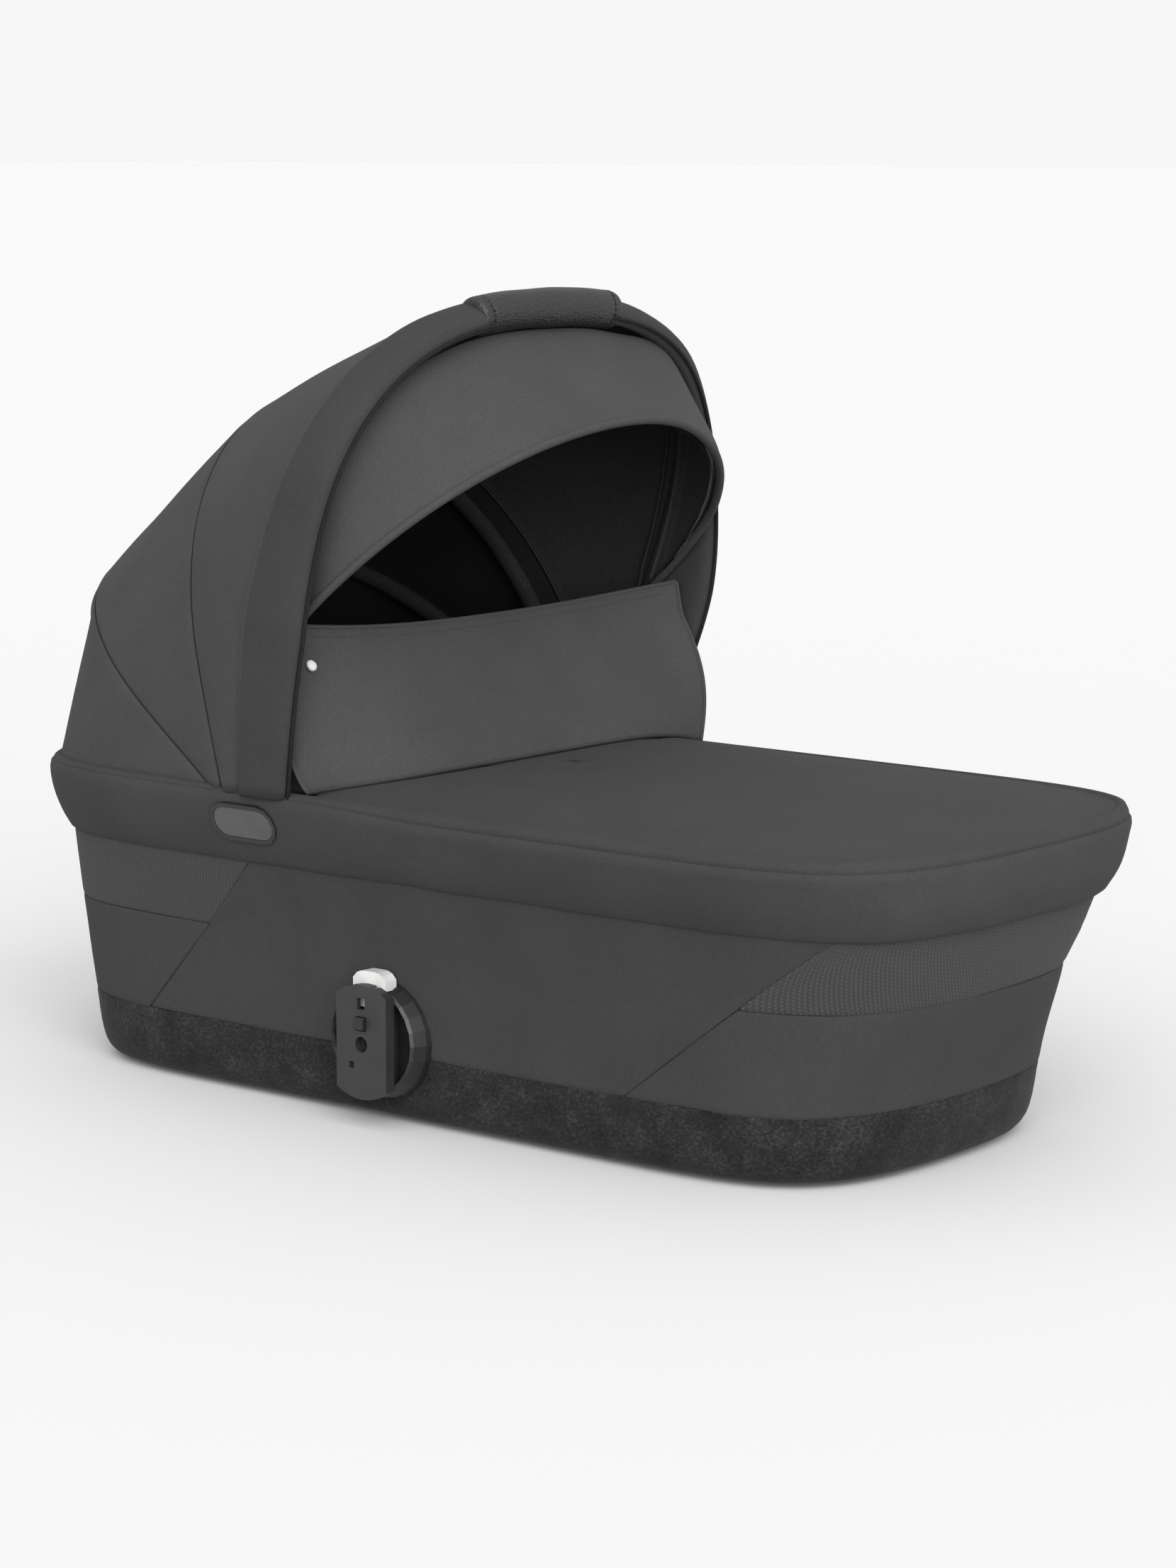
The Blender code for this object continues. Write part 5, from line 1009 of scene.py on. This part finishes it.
# A sleeve round its hoop: places square to the hoop's plane, and in from it
SLEEVE_HALF_SECTION = [(-0.0062, -0.0032), (-0.0066, 0.0010), (-0.0050, 0.0036), (-0.0018, 0.0046)]
SLEEVE_SECTION = SLEEVE_HALF_SECTION + [(-along, deep) for along, deep in SLEEVE_HALF_SECTION[::-1]]
# Its web: how far it goes up to the seam, and half its thickness there
ROOF_SHARE, WEB_HALF = 0.86, 0.0006


def web(name, hoop, seam, body, low):
    """The sleeve round a hoop inside the hood, hung from the seam above it."""
    up, across = hoop_axes(HOOPS[hoop][0])
    base = PIVOT[2] + low * up[2]
    line, inner = arch(hoop, -0.0006, 0.0, base, 81), arch(hoop, -0.0050, 0.0, base, 81)
    way = inner - line
    way /= np.linalg.norm(way, axis=1)[:, None]
    roof = line + (even(seam, 81) - line) * ROOF_SHARE
    rows = [line + across * along + way * deep for along, deep in SLEEVE_SECTION]
    rows = np.array([roof - across * WEB_HALF, *rows, roof + across * WEB_HALF])
    made = piece(name, grid(rows), body, [SLEEVE, LINING], THIN_SKIN)
    made.modifiers["skin"].material_offset = 0
    around = len(line) - 1
    for face in [*made.data.polygons[:around], *made.data.polygons[-around:]]:
        face.material_index = 1


def under(seam, low):
    """The part of a seam above a height, a little inside the cloth."""
    return (seam + 0.0035 * inward_of(seam))[seam[:, 2] > low]


web("sleeve_rear", "rear", under(rear_ridge, 0.275), "rear_arch", 0.075)
web("sleeve_mid", "mid", under(mid_ridge, 0.285), "mid_arch", 0.075)


# Sun visor

VISOR_PITCH, VISOR_REACH, VISOR_HALF = math.radians(44.5), 0.2205, 0.2148
# How far the cloth bulges on its far side, and the bound edge
VISOR_SLACK, BINDING_RADIUS = 0.012, 0.0034


def visor_line(inset, count=COLUMNS):
    """The visor's wire from the near bush to the far one, with its far side slack."""
    angle = np.linspace(0, math.pi, 481)
    reach = (VISOR_REACH - inset) * np.sin(angle)
    y = -(VISOR_HALF - inset) * np.cos(angle)
    x = VISOR_PIVOT[0] + reach * math.cos(VISOR_PITCH)
    far = step(0.08, 0.20, y) * np.clip(2.2 * np.sin(angle), 0, 1)
    x, y = x + 0.007 * far, y + 0.004 * far
    return even(np.stack([x, y, VISOR_PIVOT[2] + reach * math.sin(VISOR_PITCH)], 1), count)


def visor():
    """The visor's cloth, from the front hoop to the wire, with its bound and stitched edge."""
    up, across = hoop_axes(HOOPS["front"][0])
    width, height = profile("front", -0.0150, (VISOR_PIVOT - PIVOT) @ up + 0.004)
    root = set_up(mirrored(np.stack([-width, height, np.full_like(width, 0.005)], 1), COLUMNS), "front")
    rows = spaced(root, visor_line(-0.0012), 30, 0.0025)
    rows = pleats(rows, 0.0010, 71, 0.12)
    along = np.linspace(0, 1, len(rows))[:, None]
    slackness = step(0.07, 0.15, rows[:, :, 1]) * np.sin(math.pi * along**0.55)
    rows -= VISOR_SLACK * slackness[..., None] * inward_of(rows)
    made = finished(cloth("visor_cloth", rows, [VISOR_LIT_CLOTH, UNDER], CLOTH_SKIN, "visor"))
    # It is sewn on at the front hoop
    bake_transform(made)
    binding = visor_line(0.0, 161)
    piece("visor_binding", tube(binding, BINDING_RADIUS, 12), "sun_visor", [VISOR_LIT_CLOTH])
    inner = visor_line(0.0062, len(binding)) + np.array([-0.0008, 0, 0.0012])
    upward = np.tile([-math.sin(VISOR_PITCH), 0.0, math.cos(VISOR_PITCH)], (len(binding), 1))
    stitches("visor_stitches", inner, upward, 0.0030, 0.0020, "sun_visor", TRIM)


visor()


# Grip

# The leather tube: half its width, radius, and where it is drawn in beside its ends, as a share
GRIP_REACH, GRIP_RADIUS, GRIP_GROOVE_SHARE = 0.0806, 0.0148, 0.88
GRIP_POINTS = 140


def grip():
    """The padded grip on the front hoop's crest, with two rings of stitches near each end."""
    line = arch("front", 0.0, 0.0, PIVOT[2] + 0.05, 1201)
    line = even(line[(np.abs(line[:, 1]) < GRIP_REACH) & (line[:, 2] > 0.5)], GRIP_POINTS)
    shares = np.linspace(-1, 1, GRIP_POINTS)
    end = np.clip((1 - np.abs(shares)) / 0.055, 0, 1)
    radius = GRIP_RADIUS * (0.78 + 0.22 * np.sqrt(1 - (1 - end) ** 2))
    groove = np.abs(np.abs(shares) - GRIP_GROOVE_SHARE)
    radius -= 0.0011 * np.exp(-((groove / 0.012) ** 2))
    radius += 0.0003 * waves(line, 0.04, 81)
    made = piece("grip_cover", tube(line, radius, 40), "handle", [GRIP])
    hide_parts("grip")
    turn = np.linspace(0, math.tau, 90)
    for word, side in BOTH:
        for label, share in (("inner", 0.865), ("outer", 0.895)):
            index = round((0.5 + 0.5 * side * share) * (GRIP_POINTS - 1))
            along = line[index + 1] - line[index]
            along /= np.linalg.norm(along)
            first = np.cross(along, [1.0, 0.0, 0.0])
            first /= np.linalg.norm(first)
            around = np.outer(np.cos(turn), first) + np.outer(np.sin(turn), np.cross(along, first))
            curve = line[index] + 0.0146 * around + np.outer(0.0030 * np.cos(turn) ** 2, along) * side
            stitches(f"grip_stitches_{word}_{label}", curve, around, 0.0024, 0.0016, "handle", GRIP, 0.0006)


grip()


# Wind flap

FLAP_LEAN, FLAP_RISE, FLAP_TOP_HALF = math.radians(27.0), 0.114, 0.204
# How thick its edge is and its middle, and how wide its edge is
FLAP_EDGE, FLAP_PADDING, FLAP_ROUND = 0.0016, 0.0036, 0.014
FLAP_COLUMNS, FLAP_ROWS = 101, 30
# Each snap: how high up the flap as a share, how many columns in, and its steps out with their radii
SNAP_HEIGHT_SHARE, SNAP_COLUMN, SNAP_SLOT = 0.76, 3, "steel"
SNAP_STEPS = np.array([-0.0006, 0.0012, 0.0024, 0.0030])
SNAP_RADII = np.array([0.0046, 0.0046, 0.0034, 0.0010])


def flap_middle(normal):
    """The flap's middle surface, from its foot up, and its thickness. Its far end is slack."""
    across = np.linspace(-1, 1, FLAP_COLUMNS)
    far_end = np.clip(across, 0, 1)
    share = np.linspace(0, 1, FLAP_ROWS)
    foot_y = FLAP_HALF * across + 0.006 * far_end**8
    foot_x = flap_x(FLAP_HALF * across)
    foot = np.stack([foot_x, foot_y, apron_height(foot_x, foot_y) + 0.0012], 1)
    top_z = FLAP[2] + FLAP_RISE * math.cos(FLAP_LEAN) + 0.010 * np.abs(across) ** 2.5
    top_x = FLAP[0] - FLAP_RISE * math.sin(FLAP_LEAN) - 0.006 * np.abs(across) ** 5 + 0.026 * far_end**4
    top = np.stack([top_x, FLAP_TOP_HALF * across + 0.005 * far_end**8, top_z], 1)
    rows = foot[None] + share[:, None, None] * (top - foot)[None]
    near = np.clip(-across, 0, 1)[None] ** 6 * np.sin(math.pi * share**0.8)[:, None]
    rows -= near[..., None] * np.array([0.012, 0.009, 0.0])
    belly = np.sin(math.pi * share)[:, None] * (1 - across[None] ** 4)
    rows -= normal * (0.0030 * belly)[..., None]
    rows += normal * (0.0020 * waves(rows, 0.12, 91) * belly)[..., None]
    far = step(0.75, 1.0, across)[None] * np.sin(math.pi * np.clip(share / 0.8, 0, 1))[:, None]
    rows += far[..., None] * np.array([0.008, 0.005, 0.0])
    edge = np.minimum(
        np.minimum(share, 1 - share)[:, None] * FLAP_RISE, (1 - np.abs(across))[None] * FLAP_HALF
    )
    return rows, FLAP_EDGE + FLAP_PADDING * step(0.0, FLAP_ROUND, edge)


def wind_flap():
    """The padded flap with its bound edge, stitches, snaps and the piping along its foot."""
    normal = np.array([math.cos(FLAP_LEAN), 0.0, math.sin(FLAP_LEAN)])
    rows, thick = flap_middle(normal)
    lift = normal * (thick / 2)[..., None]
    verts = np.concatenate([(rows + lift).reshape(-1, 3), (rows - lift).reshape(-1, 3)])
    number = np.arange(thick.size).reshape(thick.shape)
    faces = []
    for quad in grid(rows)[1]:
        faces += [quad, tuple(v + thick.size for v in quad[::-1])]
    loop = np.concatenate([number[0], number[1:, -1], number[-1, -2::-1], number[-2:0:-1, 0]]).tolist()
    for one, two in zip(loop, loop[1:] + loop[:1]):
        faces.append((two, one, one + thick.size, two + thick.size))
    made = piece("flap_pad", (verts, faces), "wind_flap", [FLAP_LIT_CLOTH])
    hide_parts("wind_flap")
    rim = even(np.concatenate([rows[:, 0], rows[-1, 1:], rows[-2::-1, -1]]), 240)
    piece("flap_binding", tube(rim, 0.0017, 10), "wind_flap", [FLAP_LIT_CLOTH])
    hem = rows[-3] + normal * (thick[-3] / 2 + 0.0002)[:, None]
    out = np.tile(normal, (200, 1))
    stitches("flap_stitches", even(hem[3:-3], 200), out, 0.0028, 0.0020, "wind_flap", FLAP_LIT_CLOTH)
    for word, side in BOTH:
        column = SNAP_COLUMN if side < 0 else FLAP_COLUMNS - SNAP_COLUMN
        place = rows[round(SNAP_HEIGHT_SHARE * (FLAP_ROWS - 1)), column] - side * normal * FLAP_EDGE
        snap = tube(place - side * np.outer(SNAP_STEPS, normal), SNAP_RADII, 24)
        made = piece(f"snap_{word}", snap, "wind_flap", [WHITE])
        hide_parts(f"flap_snap_{word}")
    foot = even(rows[0] + [0.0010, 0, -0.0002], 110)
    piece("flap_foot_piping", tube(foot, 0.0008, 8), "tub", [TRIM])
    return rows


def gusset(word, side, rows):
    """Cloth that fills the corner between the wind flap and the hood."""
    edge = rows[: len(rows) // 2, 0 if side < 0 else -1]
    fade = np.linspace(1.0, 0.0, len(edge))
    back = edge.copy()
    back[:, 0] = edge[:, 0] - (edge[:, 0] + 0.1035) * fade - 0.004
    back[:, 1] = side * np.linspace(0.2035, abs(edge[-1, 1]) + 0.002, len(edge))
    back[:, 2] = edge[:, 2] - 0.002 * fade
    shares = np.linspace(0, 1, 9)
    rows = np.array([edge + (back - edge) * share for share in shares])
    rows[:, :, 1] -= side * 0.004 * np.sin(math.pi * shares)[:, None]
    made = finished(piece(f"flap_gusset_{word}", grid(rows), None, [TRIM], 0.0010))
    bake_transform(made)


flap_rows = wind_flap()
for word, side in BOTH:
    gusset(word, side, flap_rows)


# Floor, light and camera


FLOOR_HALF = 60.0


def stage():
    """A pale floor."""
    rows = [[(x, y, 0.0) for y in (-FLOOR_HALF, FLOOR_HALF)] for x in (-FLOOR_HALF, FLOOR_HALF)]
    paper = Tree("floor_paper", (0.577, 0.577, 0.577), 0.95, Specular_IOR_Level=0.1).made
    piece("floor", grid(rows), None, [paper])


def soft_sun(name, towards, power, width):
    """A broad even light, like a large panel far away."""
    data = bpy.data.lights.new(name, "SUN")
    data.energy = power
    data.angle = math.radians(width)
    lamp = bpy.data.objects.new(name, data)
    lamp.rotation_euler = Vector(towards).to_track_quat("Z", "Y").to_euler()
    bpy.context.scene.collection.objects.link(lamp)


stage()
soft_sun("front", (0.88, -0.20, 0.42), 1.39, 60.0)
soft_sun("side", (0.45, -0.60, 0.66), 1.27, 60.0)
soft_sun("fill", (0.62, -0.75, 0.22), 3.24, 60.0)

world = bpy.data.worlds.new("studio")
bpy.context.scene.world = world
world.use_nodes = True
world.node_tree.nodes["Background"].inputs["Color"].default_value = (1, 1, 1, 1)
world.node_tree.nodes["Background"].inputs["Strength"].default_value = 0.93
bpy.context.scene.view_settings.view_transform = "Standard"

AZIMUTH, ELEVATION, DISTANCE = math.radians(39.6), math.radians(8.8), 3.15
TARGET = Vector((-0.0065, 0.0, 0.25))
level_share = math.cos(ELEVATION)
back = Vector((math.sin(AZIMUTH) * level_share, -math.cos(AZIMUTH) * level_share, math.sin(ELEVATION)))
camera_data = bpy.data.cameras.new("camera")
camera = bpy.data.objects.new("camera", camera_data)
camera.location = TARGET + DISTANCE * back
camera.rotation_euler = back.to_track_quat("Z", "Y").to_euler()
camera_data.lens = 95.04
camera_data.sensor_width = camera_data.sensor_height = 36.0
camera_data.shift_x, camera_data.shift_y = 0.018, -0.011
bpy.context.scene.collection.objects.link(camera)
bpy.context.scene.camera = camera

bpy.context.view_layer.update()
